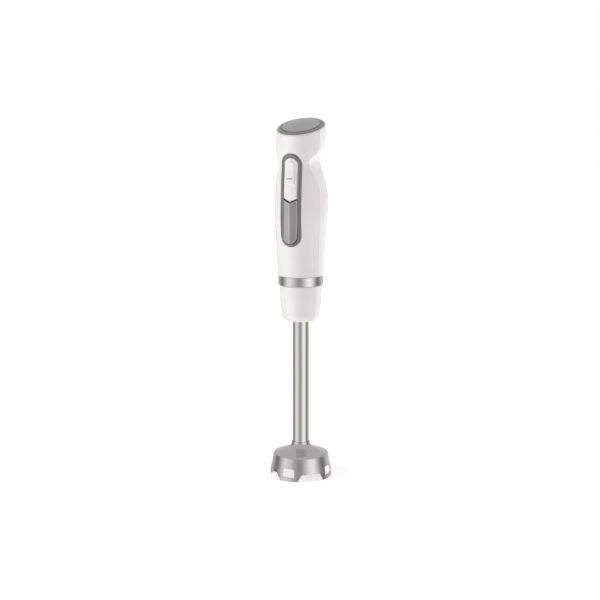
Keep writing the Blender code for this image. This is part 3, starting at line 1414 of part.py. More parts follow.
def build_rotor():
    h = motor_heights()
    clear = SHAFT_RADIUS + GAP
    shaft_low = coupling_heights()[0] + COUPLING_CAVITY + 2 * GAP
    shaft = [
        (0.0, h["shaft_top"]),
        (SHAFT_RADIUS, h["shaft_top"]),
        (SHAFT_RADIUS, shaft_low),
        (0.0, shaft_low),
    ]
    turned("rotor_shaft", shaft, "satin_steel", 16)

    disc = ring_profile(clear, FAN_RADIUS, h["fan"], h["fan"] + FAN_DISC)
    fan = turned("cooling_fan", disc, "natural_plastic", 27)
    bm = bmesh.new()
    for i in range(FAN_BLADES):
        turn = Matrix.Rotation(math.tau * i / FAN_BLADES, 4, "Z")
        reach = FAN_RADIUS - GAP - clear - 3 * GAP
        centre = Vector((clear + 3 * GAP + reach / 2, 0.0, h["fan"] + (FAN_HEIGHT + FAN_DISC / 2) / 2))
        size = Matrix.Diagonal((reach, FAN_DISC, FAN_HEIGHT - FAN_DISC / 2, 1))
        bmesh.ops.create_cube(bm, size=1.0, matrix=turn @ Matrix.Translation(centre) @ size)
    join(fan, add_cutter("fan_blades", finish_mesh("fan_blades", bm, smooth=False)))

    teeth = []
    half_tooth = math.tau / ARMATURE_TEETH * 0.36
    half_slot = math.tau / ARMATURE_TEETH * 0.10
    for i in range(ARMATURE_TEETH):
        centre = math.tau * i / ARMATURE_TEETH
        slot = centre + math.tau / ARMATURE_TEETH / 2
        for angle in (centre - half_tooth, centre, centre + half_tooth):
            teeth.append(polar(ARMATURE_RADIUS, angle))
        for angle in (slot - half_slot, slot + half_slot):
            teeth.append(polar(ARMATURE_RADIUS - ARMATURE_SLOT_DEPTH, angle))
    bore = [polar(ARMATURE_BORE, math.atan2(p.x, -p.y)) for p in teeth]
    rings = [
        [(p.x, p.y, h["core"]) for p in teeth],
        [(p.x, p.y, h["core_top"]) for p in teeth],
        [(p.x, p.y, h["core_top"]) for p in bore],
        [(p.x, p.y, h["core"]) for p in bore],
    ]
    add_part("armature_core", lofted_mesh("armature_core", rings, closed_loop=True), "laminations")

    sleeve = ARMATURE_BORE - GAP
    rounding = WINDING_END / 3
    profile = [
        (WINDING_RADIUS - rounding, h["winding_top"]),
        (WINDING_RADIUS, h["winding_top"] - rounding),
        (WINDING_RADIUS, h["core_top"] + GAP),
        (sleeve, h["core_top"] + GAP),
        (sleeve, h["core"] - GAP),
        (WINDING_RADIUS, h["core"] - GAP),
        (WINDING_RADIUS, h["winding"] + rounding),
        (WINDING_RADIUS - rounding, h["winding"]),
        (clear, h["winding"]),
        (clear, h["winding_top"]),
    ]
    turned("armature_winding", profile, "copper", 16)
    commutator = ring_profile(clear, COMMUTATOR_RADIUS, h["commutator"], h["commutator_top"])
    turned("commutator", commutator, "copper", 2 * COMMUTATOR_BARS)


def build_brushes():
    h = motor_heights()
    level = (h["commutator"] + h["commutator_top"]) / 2
    half = BRUSH_WIDTH / 2
    start = COMMUTATOR_RADIUS + GAP
    holder_start = WINDING_RADIUS + 2 * GAP
    outer_half = half + GAP + HOLDER_WALL
    for side, name in ((-1, "left"), (1, "right")):
        near, far = sorted((side * start, side * (start + BRUSH_LENGTH)))
        brush = block_mesh(f"carbon_brush_{name}", (near, -half, level - half), (far, half, level + half))
        add_part(f"carbon_brush_{name}", brush, "carbon")

        near, far = sorted((side * holder_start, side * (holder_start + HOLDER_LENGTH)))
        low = (near, -outer_half, level - outer_half)
        high = (far, outer_half, level + outer_half)
        holder = add_part(f"brush_holder_{name}", block_mesh(f"brush_holder_{name}", low, high), "bronze")
        bore_half = half + GAP
        low = (near - BRUSH_LENGTH, -bore_half, level - bore_half)
        high = (far + BRUSH_LENGTH, bore_half, level + bore_half)
        cut(holder, add_cutter(f"brush_bore_{name}", block_mesh(f"brush_bore_{name}", low, high)))

        back = start + BRUSH_LENGTH + GAP
        spring_end = holder_start + HOLDER_LENGTH - GAP
        path = [(back, 0.0), (back + (spring_end - back) * 0.5, 1.2 * MM), (spring_end, 0.2 * MM)]
        outline = [(side * x, z + level) for x, z in path]
        outline += [(side * x, z + level - LEAF_THICKNESS) for x, z in reversed(path)]
        rings = [[(x, y, z) for x, z in outline] for y in (-half / 2, half / 2)]
        add_part(f"brush_spring_{name}", lofted_mesh(f"brush_spring_{name}", rings), "satin_steel")


clear_scene()
PARTS = new_collection("immersion_blender")
CUTTERS = new_collection("cutters")
build_front_shell()
build_rear_shell()
build_cord_inlet()
build_panel_frame()
build_buttons()
build_board()
build_top_rim()
build_dial()
build_socket()
build_collar()
build_neck()
build_tube()
build_guard()
build_hub()
build_blade()
build_drive()
build_motor_frame()
build_stator()
build_rotor()
build_brushes()
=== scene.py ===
"""Looks of a hand-held immersion blender: fine surfaces, materials, studio and camera.

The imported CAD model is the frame. Its axis is +Z, -Y is out of the switch panel, and the four feet
of its blade guard stand on z = 0. Lengths are in metres.
"""

import json
import math

import bmesh
import bpy
from mathutils import Matrix, Vector


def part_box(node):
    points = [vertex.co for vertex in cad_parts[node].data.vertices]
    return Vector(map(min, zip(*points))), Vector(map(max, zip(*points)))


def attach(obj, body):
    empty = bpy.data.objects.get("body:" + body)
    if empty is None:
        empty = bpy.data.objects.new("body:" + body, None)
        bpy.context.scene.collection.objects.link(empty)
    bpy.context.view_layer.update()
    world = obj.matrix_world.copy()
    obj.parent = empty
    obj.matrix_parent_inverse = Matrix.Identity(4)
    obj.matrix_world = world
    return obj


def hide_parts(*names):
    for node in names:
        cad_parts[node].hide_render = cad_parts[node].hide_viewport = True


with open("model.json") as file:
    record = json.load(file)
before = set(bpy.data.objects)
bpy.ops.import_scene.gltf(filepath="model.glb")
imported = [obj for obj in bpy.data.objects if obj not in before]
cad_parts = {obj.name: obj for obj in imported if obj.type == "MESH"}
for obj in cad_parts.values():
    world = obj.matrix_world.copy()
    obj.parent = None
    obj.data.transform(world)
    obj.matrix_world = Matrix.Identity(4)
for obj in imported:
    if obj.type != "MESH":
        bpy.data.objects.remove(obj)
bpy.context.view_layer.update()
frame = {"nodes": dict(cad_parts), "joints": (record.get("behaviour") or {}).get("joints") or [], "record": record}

MM = 0.001
GAP = 0.3 * MM
TAU = math.tau


# ---- Places read from the frame -------------------------------------------------------
def low(node):
    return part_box(node)[0]


def high(node):
    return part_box(node)[1]


def joint(name):
    return next(j for j in frame["joints"] if j["name"] == name)


TOP_AXIS = Vector(joint("speed_dial_turn")["axis"])
Z_TOP = joint("speed_dial_turn")["pos_m"][2]
TOP_TILT = math.atan2(-TOP_AXIS.y, TOP_AXIS.z)
Z_HANDLE = high("trim_band").z + GAP
Z_COLLAR = low("foot_collar").z
Z_COLLAR_TOP = high("foot_collar").z
TUBE_RADIUS = high("shaft_tube").x
GUARD_RIM_RADIUS = high("blade_guard").x
Z_FLARE = high("blade_guard").z

# The casing's stations, as heights below the middle of the slanted top or above its foot
TILT_ZONE = 24.0 * MM
CASE_WALL = 2.2 * MM
PARTING_GAP = 0.10 * MM
EDGE_ROUND = 0.35 * MM
TOP_ROUND = 1.7 * MM
RIM_INSET = 1.9 * MM
HIP_RISE = 40.0 * MM
FRONT_RADIUS = [
    (Z_HANDLE, 25.6 * MM),
    (Z_HANDLE + HIP_RISE, 27.1 * MM),
    (Z_TOP - 97.0 * MM, 28.6 * MM),
    (Z_TOP - 57.0 * MM, 27.0 * MM),
    (Z_TOP - 41.5 * MM, 25.5 * MM),
    (Z_TOP - 27.0 * MM, 26.6 * MM),
]
SIDE_HALF = [
    (Z_HANDLE, 25.3 * MM),
    (Z_HANDLE + HIP_RISE, 27.4 * MM),
    (Z_TOP - 80.0 * MM, 30.4 * MM),
    (Z_TOP - 59.0 * MM, 26.0 * MM),
    (Z_TOP - 49.0 * MM, 22.4 * MM),
    (Z_TOP - 33.5 * MM, 17.4 * MM),
    (Z_TOP - 24.5 * MM, 24.6 * MM),
    (Z_TOP - 8.0 * MM, 27.0 * MM),
]
REAR_DEPTH = [
    (Z_HANDLE, 25.4 * MM),
    (Z_TOP - 80.0 * MM, 30.6 * MM),
    (Z_TOP - 38.0 * MM, 23.5 * MM),
    (Z_TOP - 8.0 * MM, 27.0 * MM),
]
FRONT_REACH = [
    (Z_HANDLE, 25.4 * MM),
    (Z_TOP - 80.0 * MM, 30.6 * MM),
    (Z_TOP - 33.5 * MM, 45.0 * MM),
    (Z_TOP - 8.0 * MM, 27.0 * MM),
]
SQUARENESS = [(Z_TOP - 80.0 * MM, 2.0), (Z_TOP - 33.5 * MM, 2.5), (Z_TOP - 8.0 * MM, 2.0)]
CREASE = [
    (Z_TOP - 70.0 * MM, math.radians(71.0)),
    (Z_TOP - 37.5 * MM, math.radians(43.5)),
    (Z_TOP - 22.0 * MM, math.radians(73.0)),
]
CREASE_BLEND = math.radians(30.0)

# Switch panel
PANEL_HIGH = Z_TOP - 28.0 * MM
PANEL_LOW = PANEL_HIGH - 100.0 * MM
PANEL_HALF_WIDTH = high("panel_frame").x
PANEL_PROUD = 0.7 * MM
PANEL_DEPTH = 2.9 * MM
FRAME_SIDE = 3.3 * MM
OPENING_LOW = PANEL_LOW + 2.5 * MM
OPENING_HIGH = PANEL_HIGH - 3.6 * MM
BUTTON_HALF = PANEL_HALF_WIDTH - FRAME_SIDE - GAP
BUTTON_SPLIT = PANEL_HIGH - 50.4 * MM
BUTTON_V_DEPTH = 3.8 * MM
BUTTON_V_GAP = 1.2 * MM
BUTTON_PROUD = 0.9 * MM
BUTTON_DEPTH = 2.2 * MM
STEM_HALF = 2.0 * MM
ON_SWITCH_DROP = 22.0 * MM        # panel's upper end to the middle of the upper switch
TURBO_SWITCH_DROP = 54.2 * MM
THUMB_HALF_WIDTH = 5.2 * MM
THUMB_TOP = OPENING_HIGH - 4.4 * MM
THUMB_LENGTH = 26.0 * MM
THUMB_RISE = 0.9 * MM
RIDGE_RISE = 0.7 * MM
RIDGE_FALL = 2.3 * MM


# ---- Curves and forms ------------------------------------------------------------------
def smooth_step(share):
    share = min(max(share, 0.0), 1.0)
    return share * share * (3.0 - 2.0 * share)


def monotone_curve(stations, position):
    """Smooth curve through (position, value) stations that never overshoots them."""
    places = [station[0] for station in stations]
    values = [station[1] for station in stations]
    if position <= places[0]:
        return values[0]
    if position >= places[-1]:
        return values[-1]
    slopes = [(values[i + 1] - values[i]) / (places[i + 1] - places[i]) for i in range(len(values) - 1)]

    def tangent(i):
        if i in (0, len(slopes)) or slopes[i - 1] * slopes[i] <= 0.0:
            return 0.0
        return 2.0 * slopes[i - 1] * slopes[i] / (slopes[i - 1] + slopes[i])

    index = max(i for i, place in enumerate(places) if place <= position)
    span = places[index + 1] - places[index]
    t = (position - places[index]) / span
    start = values[index] * (2 * t**3 - 3 * t**2 + 1) + tangent(index) * span * (t**3 - 2 * t**2 + t)
    end = values[index + 1] * (3 * t**2 - 2 * t**3) + tangent(index + 1) * span * (t**3 - t**2)
    return start + end


SOFTEN = 1.3 * MM      # spacing of the samples that even out a curve's changes of curvature
_cache = {}


def fair(stations, position):
    """The curve averaged over a short window, so that gloss runs over it without a kink."""
    key = (id(stations), round(position, 7))
    if key not in _cache:
        weights = (1, 2, 3, 2, 1)
        total = sum(w * monotone_curve(stations, position + SOFTEN * (i - 2)) for i, w in enumerate(weights))
        _cache[key] = total / sum(weights)
    return _cache[key]


def scooped_radius(angle, level):
    power = fair(SQUARENESS, level)
    reach = fair(FRONT_REACH if math.cos(angle) > 0.0 else REAR_DEPTH, level)
    lateral = abs(math.sin(angle)) / fair(SIDE_HALF, level)
    lengthwise = abs(math.cos(angle)) / reach
    return (lateral**power + lengthwise**power) ** (-1.0 / power)


def case_radius(angle, level):
    """Radius of the casing at an angle from the front; past the crease it is the scooped form."""
    angle = abs(angle) % TAU
    angle = min(angle, TAU - angle)
    crease = fair(CREASE, level)
    front = fair(FRONT_RADIUS, level)
    if angle <= crease:
        return front
    fade = 1.0 - smooth_step((angle - crease) / CREASE_BLEND)
    ratio = front / scooped_radius(crease, level)
    return scooped_radius(angle, level) * (1.0 + (ratio - 1.0) * fade)


def case_point(angle, level, depth=0.0):
    """A point of the casing's skin, depth inside it, leaned onto the slanted top's plane."""
    radius = case_radius(angle, level) - depth
    y = -radius * math.cos(angle)
    lean = math.tan(TOP_TILT) * smooth_step((level - Z_TOP + TILT_ZONE) / TILT_ZONE)
    return Vector((radius * math.sin(angle), y, level + y * lean))


def on_front(x, z, offset):
    """A point over the casing's front at x and z, offset outwards along its radius."""
    radius = fair(FRONT_RADIUS, z) + offset
    return Vector((x, -math.sqrt(radius**2 - x**2), z))


def top_point(radius, angle, height):
    """A point over the slanted top, given round its middle and square to it."""
    flat = Vector((radius * math.sin(angle), -radius * math.cos(angle), height))
    return Matrix.Rotation(TOP_TILT, 3, "X") @ flat + Vector((0.0, 0.0, Z_TOP))


def polar_point(angle, radius, z):
    return Vector((radius * math.sin(angle), -radius * math.cos(angle), z))


def spread(start, end, count):
    return [start + (end - start) * i / (count - 1) for i in range(count)]


def arc(centre, radius, start, end, count):
    """Points of an arc, in degrees, both ends included."""
    angles = [math.radians(a) for a in spread(start, end, count)]
    return [(centre[0] + radius * math.cos(a), centre[1] + radius * math.sin(a)) for a in angles]


def rounded(corners, steps=4):
    """A closed outline from (x, y, radius) corners, each turned into an arc of its radius."""
    points = []
    for i, (x, y, radius) in enumerate(corners):
        here = Vector((x, y))
        if radius <= 0.0:
            points.append((x, y))
            continue
        back = Vector(corners[i - 1][:2]) - here
        ahead = Vector(corners[(i + 1) % len(corners)][:2]) - here
        half = back.angle(ahead) / 2.0
        cut = min(radius / math.tan(half), 0.49 * back.length, 0.49 * ahead.length)
        start = here + back.normalized() * cut
        end = here + ahead.normalized() * cut
        for k in range(steps + 1):
            t = k / steps
            points.append(tuple(start * (1 - t) ** 2 + here * 2 * t * (1 - t) + end * t**2))
    return points


def rounded_box(x, y, width, height, radius):
    """A rectangle's outline round (x, y), with rounded corners."""
    signs = ((1, -1), (1, 1), (-1, 1), (-1, -1))
    return rounded([(x + width / 2 * across, y + height / 2 * up, radius) for across, up in signs])


# ---- Meshes ----------------------------------------------------------------------------
def mesh_object(name, points, faces, sharp=35.0):
    mesh = bpy.data.meshes.new(name)
    mesh.from_pydata([tuple(p) for p in points], [], faces)
    bm = bmesh.new()
    bm.from_mesh(mesh)
    bmesh.ops.remove_doubles(bm, verts=bm.verts, dist=1e-7)
    bmesh.ops.recalc_face_normals(bm, faces=bm.faces)
    bm.to_mesh(mesh)
    bm.free()
    mesh.shade_smooth()
    mesh.set_sharp_from_angle(angle=math.radians(sharp))
    obj = bpy.data.objects.new(name, mesh)
    bpy.context.scene.collection.objects.link(obj)
    return obj


def loft(name, rings, closed_loop=False, sharp=35.0):
    """Skins rings of equally many points. Open ends are capped, or the last ring meets the first."""
    count = len(rings[0])
    points = [p for ring in rings for p in ring]
    faces = []
    turns = len(rings) if closed_loop else len(rings) - 1
    for r in range(turns):
        here = r * count
        there = (r + 1) % len(rings) * count
        for i in range(count):
            j = (i + 1) % count
            faces.append((here + i, here + j, there + j, there + i))
    if not closed_loop:
        faces.append(tuple(range(count)))
        faces.append(tuple(range((len(rings) - 1) * count, len(rings) * count)))
    return mesh_object(name, points, faces, sharp)


def lathe(name, outline, steps=128, sharp=35.0):
    """Turns a closed outline of (radius, height) about Z."""
    turns = [TAU * i / steps for i in range(steps)]
    rings = [[polar_point(turn, radius, height) for turn in turns] for radius, height in outline]
    return loft(name, rings, closed_loop=True, sharp=sharp)


def grid_faces(rows, columns, offset=0, flip=False):
    faces = []
    for r in range(rows - 1):
        for c in range(columns - 1):
            a = offset + r * columns + c
            quad = (a, a + 1, a + columns + 1, a + columns)
            faces.append(quad[::-1] if flip else quad)
    return faces


def slab(name, outer, inner, sharp=35.0):
    """A closed sheet between two grids of points of the same size."""
    rows = len(outer)
    columns = len(outer[0])
    size = rows * columns
    points = [p for row in outer for p in row] + [p for row in inner for p in row]
    faces = grid_faces(rows, columns) + grid_faces(rows, columns, size, flip=True)
    border = list(range(columns))
    border += [r * columns + columns - 1 for r in range(1, rows)]
    border += [(rows - 1) * columns + c for c in range(columns - 2, -1, -1)]
    border += [r * columns for r in range(rows - 2, 0, -1)]
    for i, a in enumerate(border):
        b = border[(i + 1) % len(border)]
        faces.append((b, a, a + size, b + size))
    return mesh_object(name, points, faces, sharp)


def cylinder_between(name, radius, start, end, sides=96):
    axis = Vector(end) - Vector(start)
    turn = axis.to_track_quat("Z", "Y").to_matrix()
    rings = []
    for share in (0.0, 1.0):
        ring = []
        for i in range(sides):
            flat = Vector((radius * math.cos(TAU * i / sides), radius * math.sin(TAU * i / sides), 0.0))
            ring.append(turn @ flat + Vector(start) + axis * share)
        rings.append(ring)
    return loft(name, rings)


def boolean(obj, tool, operation="DIFFERENCE"):
    """Cuts obj with tool, or joins tool to it, and removes the tool."""
    modifier = obj.modifiers.new("cut", "BOOLEAN")
    modifier.operation = operation
    modifier.object = tool
    bpy.context.view_layer.update()
    depsgraph = bpy.context.evaluated_depsgraph_get()
    result = bpy.data.meshes.new_from_object(obj.evaluated_get(depsgraph))
    obj.modifiers.remove(modifier)
    old = obj.data
    obj.data = result
    bpy.data.meshes.remove(old)
    bpy.data.objects.remove(tool)
    obj.data.shade_smooth()
    obj.data.set_sharp_from_angle(angle=math.radians(35.0))


def bevel_edges(obj, width, angle):
    modifier = obj.modifiers.new("soft_edges", "BEVEL")
    modifier.width = width
    modifier.segments = 2
    modifier.limit_method = "ANGLE"
    modifier.angle_limit = math.radians(angle)
    modifier.harden_normals = True


def place(obj, body, slot, *nodes, finish=None):
    """Gives a piece the material of its finish or else of its slot, puts it under its body, and hides the CAD
    nodes that it stands for.
    """
    obj.data.materials.clear()
    obj.data.materials.append(MATERIALS[finish or slot])
    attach(obj, body)
    if nodes:
        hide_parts(*nodes)


# ---- Materials -------------------------------------------------------------------------
def feed(tree, socket, value):
    """Sets a socket to a value, or links another node's output to it."""
    if isinstance(value, bpy.types.NodeSocket):
        tree.links.new(value, socket)
    else:
        socket.default_value = value


def add_node(tree, kind, options=None, **inputs):
    node = tree.nodes.new("ShaderNode" + kind)
    for name, value in (options or {}).items():
        setattr(node, name, value)
    for name, value in inputs.items():
        feed(tree, node.inputs[name], value)
    return node


def maths(tree, operation, first, second=0.0):
    node = add_node(tree, "Math", {"operation": operation})
    feed(tree, node.inputs[0], first)
    feed(tree, node.inputs[1], second)
    return node.outputs[0]


MATERIALS = {}      # each material under the name that the pieces ask for


def new_material(name, **settings):
    material = bpy.data.materials.new(name)
    MATERIALS[name] = material
    material.use_nodes = True
    shader = material.node_tree.nodes["Principled BSDF"]
    for key, value in settings.items():
        shader.inputs[key.replace("_", " ")].default_value = value
    return material.node_tree, shader


def rgb(colour):
    return (*colour, 1.0)


def object_coordinates(tree):
    return add_node(tree, "TexCoord").outputs["Object"]


def noise(tree, coordinates, scale, detail=3.0, roughness=0.5):
    node = add_node(tree, "TexNoise", Vector=coordinates, Scale=scale, Detail=detail, Roughness=roughness)
    return node.outputs["Fac"]


def remap(tree, value, low_value, high_value, start=0.3, end=0.7):
    """Spreads the middle of a noise's range between two values."""
    node = add_node(tree, "MapRange", Value=value)
    for key, number in zip(("From Min", "From Max", "To Min", "To Max"), (start, end, low_value, high_value)):
        node.inputs[key].default_value = number
    return node.outputs["Result"]


def mix_colours(tree, factor, first, second):
    node = add_node(tree, "Mix", {"data_type": "RGBA"})
    for index, value in ((0, factor), (6, first), (7, second)):
        feed(tree, node.inputs[index], value)
    return node.outputs[2]


def bump(tree, shader, height, distance, strength=1.0):
    node = add_node(tree, "Bump", Height=height, Distance=distance, Strength=strength)
    tree.links.new(node.outputs["Normal"], shader.inputs["Normal"])


def scaled(colour, factor):
    return tuple(min(c * factor, 1.0) for c in colour)


def plastic(name, colour, roughness, grain, depth, mottle=0.03, **settings):
    """Moulded plastic: a faint cloudiness, uneven gloss and a fine surface grain."""
    tree, shader = new_material(name, **settings)
    coordinates = object_coordinates(tree)
    cloud = remap(tree, noise(tree, coordinates, 45.0, 4.0), 0.0, 1.0)
    tones = [rgb(scaled(colour, 1.0 + side * mottle)) for side in (-1, 1)]
    tree.links.new(mix_colours(tree, cloud, *tones), shader.inputs["Base Color"])
    handling = noise(tree, coordinates, 160.0, 5.0, 0.6)
    tree.links.new(remap(tree, handling, roughness * 0.8, roughness * 1.25), shader.inputs["Roughness"])
    bump(tree, shader, noise(tree, coordinates, grain, 2.0), depth)


def brushed_coordinates(tree, around, fine, long):
    """Coordinates stretched along the brushing lines, which run round the axis or along it."""
    separate = add_node(tree, "SeparateXYZ", Vector=object_coordinates(tree))
    x, y, z = (separate.outputs[k] for k in "XYZ")
    angle = maths(tree, "ARCTAN2", x, y)
    squares = maths(tree, "ADD", maths(tree, "MULTIPLY", x, x), maths(tree, "MULTIPLY", y, y))
    radius = maths(tree, "SQRT", squares)
    scales = (long, fine, fine) if around else (fine * 0.01, fine * 0.1, long)
    parts = [maths(tree, "MULTIPLY", part, scale) for part, scale in zip((angle, radius, z), scales)]
    return add_node(tree, "CombineXYZ", X=parts[0], Y=parts[1], Z=parts[2]).outputs[0]


def metal(name, colour, roughness, around=True, fine=2600.0, long=5.0, depth=0.004 * MM, spread_by=0.35,
          **settings):
    """Metal with brushing lines that vary its tone, its gloss and its surface."""
    tree, shader = new_material(name, Metallic=1.0, **settings)
    lines = brushed_coordinates(tree, around, fine, long)
    streaks = noise(tree, lines, 1.0, 4.0, 0.6)
    tones = [rgb(scaled(colour, factor)) for factor in (0.94, 1.05)]
    mixed = mix_colours(tree, remap(tree, streaks, 0.0, 1.0), *tones)
    tree.links.new(mixed, shader.inputs["Base Color"])
    low_gloss, high_gloss = roughness * (1.0 - spread_by), roughness * (1.0 + spread_by)
    tree.links.new(remap(tree, streaks, low_gloss, high_gloss), shader.inputs["Roughness"])
    bump(tree, shader, streaks, depth)


def layered(name, metallic, roughness, dark, light, scale, distortion, depth):
    """Level layers, such as a coil's turns of wire or a stack of steel sheets, under varnish."""
    tree, shader = new_material(name, Metallic=metallic, Roughness=roughness)
    wave = add_node(tree, "TexWave", {"bands_direction": "Z"}, Vector=object_coordinates(tree), Scale=scale,
                    Distortion=distortion)
    mixed = mix_colours(tree, wave.outputs["Fac"], rgb(dark), rgb(light))
    tree.links.new(mixed, shader.inputs["Base Color"])
    bump(tree, shader, wave.outputs["Fac"], depth)


def circuit_board(name):
    """Green solder mask over darker tracks."""
    tree, shader = new_material(name, Roughness=0.35)
    cells = add_node(tree, "TexVoronoi", {"feature": "DISTANCE_TO_EDGE"}, Vector=object_coordinates(tree),
                     Scale=260.0)
    track = remap(tree, cells.outputs["Distance"], 0.0, 1.0, 0.04, 0.10)
    mixed = mix_colours(tree, track, rgb((0.02, 0.11, 0.04)), rgb((0.04, 0.24, 0.09)))
    tree.links.new(mixed, shader.inputs["Base Color"])
    bump(tree, shader, track, 0.04 * MM)


def coated_grey(name, tone):
    """A grey metallic lacquer under a thin clear coat."""
    plastic(name, (tone, tone, tone - 0.005), 0.15, 1800.0, 0.0015 * MM, 0.04, Metallic=0.9, Coat_Weight=0.3,
            Coat_Roughness=0.08)


def make_materials():
    plastic("gloss_white", (0.83, 0.82, 0.80), 0.14, 700.0, 0.004 * MM, 0.010, Coat_Weight=0.5,
            Coat_Roughness=0.04)
    plastic("grip_white", (0.88, 0.865, 0.855), 0.40, 2000.0, 0.006 * MM, 0.012)
    coated_grey("dark_grey", 0.27)
    coated_grey("rim_grey", 0.35)
    plastic("mid_grey", (0.54, 0.535, 0.52), 0.11, 1800.0, 0.0010 * MM, 0.03, Metallic=0.95)
    plastic("black_plastic", (0.030, 0.030, 0.031), 0.45, 2200.0, 0.03 * MM, 0.15)
    plastic("natural_plastic", (0.72, 0.69, 0.61), 0.42, 1800.0, 0.02 * MM, 0.04)
    plastic("rubber", (0.028, 0.028, 0.028), 0.68, 1600.0, 0.05 * MM, 0.2)
    plastic("carbon", (0.045, 0.045, 0.05), 0.6, 1500.0, 0.06 * MM, 0.3)
    metal("bright_steel", (0.74, 0.725, 0.705), 0.08, around=False, long=14.0, depth=0.0008 * MM)
    metal("satin_steel", (0.655, 0.632, 0.625), 0.12, fine=1600.0, depth=0.0008 * MM)
    metal("band_steel", (0.71, 0.695, 0.675), 0.04, fine=1800.0, depth=0.0008 * MM)
    metal("bronze", (0.56, 0.40, 0.20), 0.35, fine=1500.0, depth=0.01 * MM)
    layered("copper", 0.85, 0.35, (0.36, 0.12, 0.05), (0.68, 0.30, 0.13), 330.0, 0.6, 0.12 * MM)
    layered("laminations", 0.9, 0.5, (0.16, 0.16, 0.17), (0.42, 0.42, 0.44), 600.0, 0.2, 0.05 * MM)
    circuit_board("board_green")
    plastic("mark_grey", (0.20, 0.17, 0.15), 0.5, 1500.0, 0.01 * MM, 0.1)
    plastic("mark_amber", (0.62, 0.34, 0.16), 0.5, 1500.0, 0.01 * MM, 0.1)


def dress_frame():
    """Each CAD node that stays gets the detailed material of its slot."""
    slots = {part["node"]: part["material_slot"] for part in frame["record"]["subparts"]}
    for name, obj in frame["nodes"].items():
        obj.data.materials.clear()
        obj.data.materials.append(MATERIALS[slots[name]])


# ---- Casing ----------------------------------------------------------------------------
ROLL_SHARES = (0.0, 0.15, 0.4, 0.75, 1.0)
FAR_SHARES = (0.0, 0.03, 0.08, 0.15, 0.25, 0.4, 0.6, 0.8, 1.0)


def roll(distance, radius=EDGE_ROUND):
    """How deep the skin dips at a distance from an edge that is rounded to a radius."""
    if distance >= radius:
        return 0.0
    return radius - math.sqrt(radius**2 - (radius - distance) ** 2)


def top_roll(level):
    """How deep the skin dips near the slanted top, where the casing's edge is rounded over."""
    return roll(max(Z_TOP - GAP - level, 0.0), TOP_ROUND)


def stadium(half_width, low_z, high_z, end_steps, side_steps):
    """Outline of (x, z) points with round ends, counter-clockwise from the right."""
    upper = arc((0.0, high_z - half_width), half_width, 0.0, 180.0, end_steps + 1)
    lower = arc((0.0, low_z + half_width), half_width, 180.0, 360.0, end_steps + 1)
    sides = spread(high_z - half_width, low_z + half_width, side_steps + 1)[1:-1]
    return upper + [(-half_width, z) for z in sides] + lower + [(half_width, z) for z in reversed(sides)]


def front_border(count_side, count_end):
    """The front casing's outer border as (share of the crease angle, level), matching stadium()."""
    top = Z_TOP - GAP
    bend_high = PANEL_HIGH - PANEL_HALF_WIDTH
    bend_low = PANEL_LOW + PANEL_HALF_WIDTH
    quarter = count_end // 4
    across = count_end - 2 * quarter + 1
    upper = [(1.0, z) for z in spread(bend_high, top, quarter + 1)]
    upper += [(share, top) for share in spread(1.0, -1.0, across)[1:]]
    upper += [(-1.0, z) for z in spread(top, bend_high, quarter + 1)[1:]]
    lower = [(-1.0, z) for z in spread(bend_low, Z_HANDLE, quarter + 1)]
    lower += [(share, Z_HANDLE) for share in spread(-1.0, 1.0, across)[1:]]
    lower += [(1.0, z) for z in spread(Z_HANDLE, bend_low, quarter + 1)[1:]]
    sides = spread(bend_high, bend_low, count_side + 1)[1:-1]
    return upper + [(-1.0, z) for z in sides] + lower + [(1.0, z) for z in reversed(sides)]


def make_front_shell():
    """Rings of points from the panel's hole out to the parting line, over the front's skin."""
    end_steps, side_steps, rings = 64, 90, 26
    hole = stadium(PANEL_HALF_WIDTH + GAP, PANEL_LOW - GAP, PANEL_HIGH + GAP, end_steps, side_steps)
    border = front_border(side_steps, end_steps)
    starts = [(math.asin(x / fair(FRONT_RADIUS, z)), z) for x, z in hole]
    ends = [(share * (fair(CREASE, z) - PARTING_GAP / fair(FRONT_RADIUS, z)), z) for share, z in border]
    shares = []
    for start, end in zip(starts, ends):
        radius = fair(FRONT_RADIUS, (start[1] + end[1]) / 2)
        length = math.hypot((end[0] - start[0]) * radius, end[1] - start[1])
        near = [EDGE_ROUND * s / length for s in ROLL_SHARES]
        far = [TOP_ROUND * s / length for s in FAR_SHARES]
        middle = spread(near[-1], 1.0 - far[-1], rings)[1:-1]
        shares.append((length, near + middle + [1.0 - s for s in reversed(far)]))
    count = len(shares[0][1])

    def ring_at(k, depth_at):
        ring = []
        for start, end, (length, steps) in zip(starts, ends, shares):
            t = steps[k]
            level = start[1] + (end[1] - start[1]) * t
            ring.append(case_point(start[0] + (end[0] - start[0]) * t, level, depth_at(t, length, level)))
        return ring

    def skin_depth(t, length, level):
        return max(roll(min(t, 1.0 - t) * length), top_roll(level))

    outer = [ring_at(k, skin_depth) for k in range(count)]
    inner = [ring_at(k, lambda *_: CASE_WALL) for k in (count - 1, count // 2, 0)]
    shell = loft("front_shell_skin", outer + inner, closed_loop=True)
    place(shell, "motor_unit", "gloss_white", "front_shell")


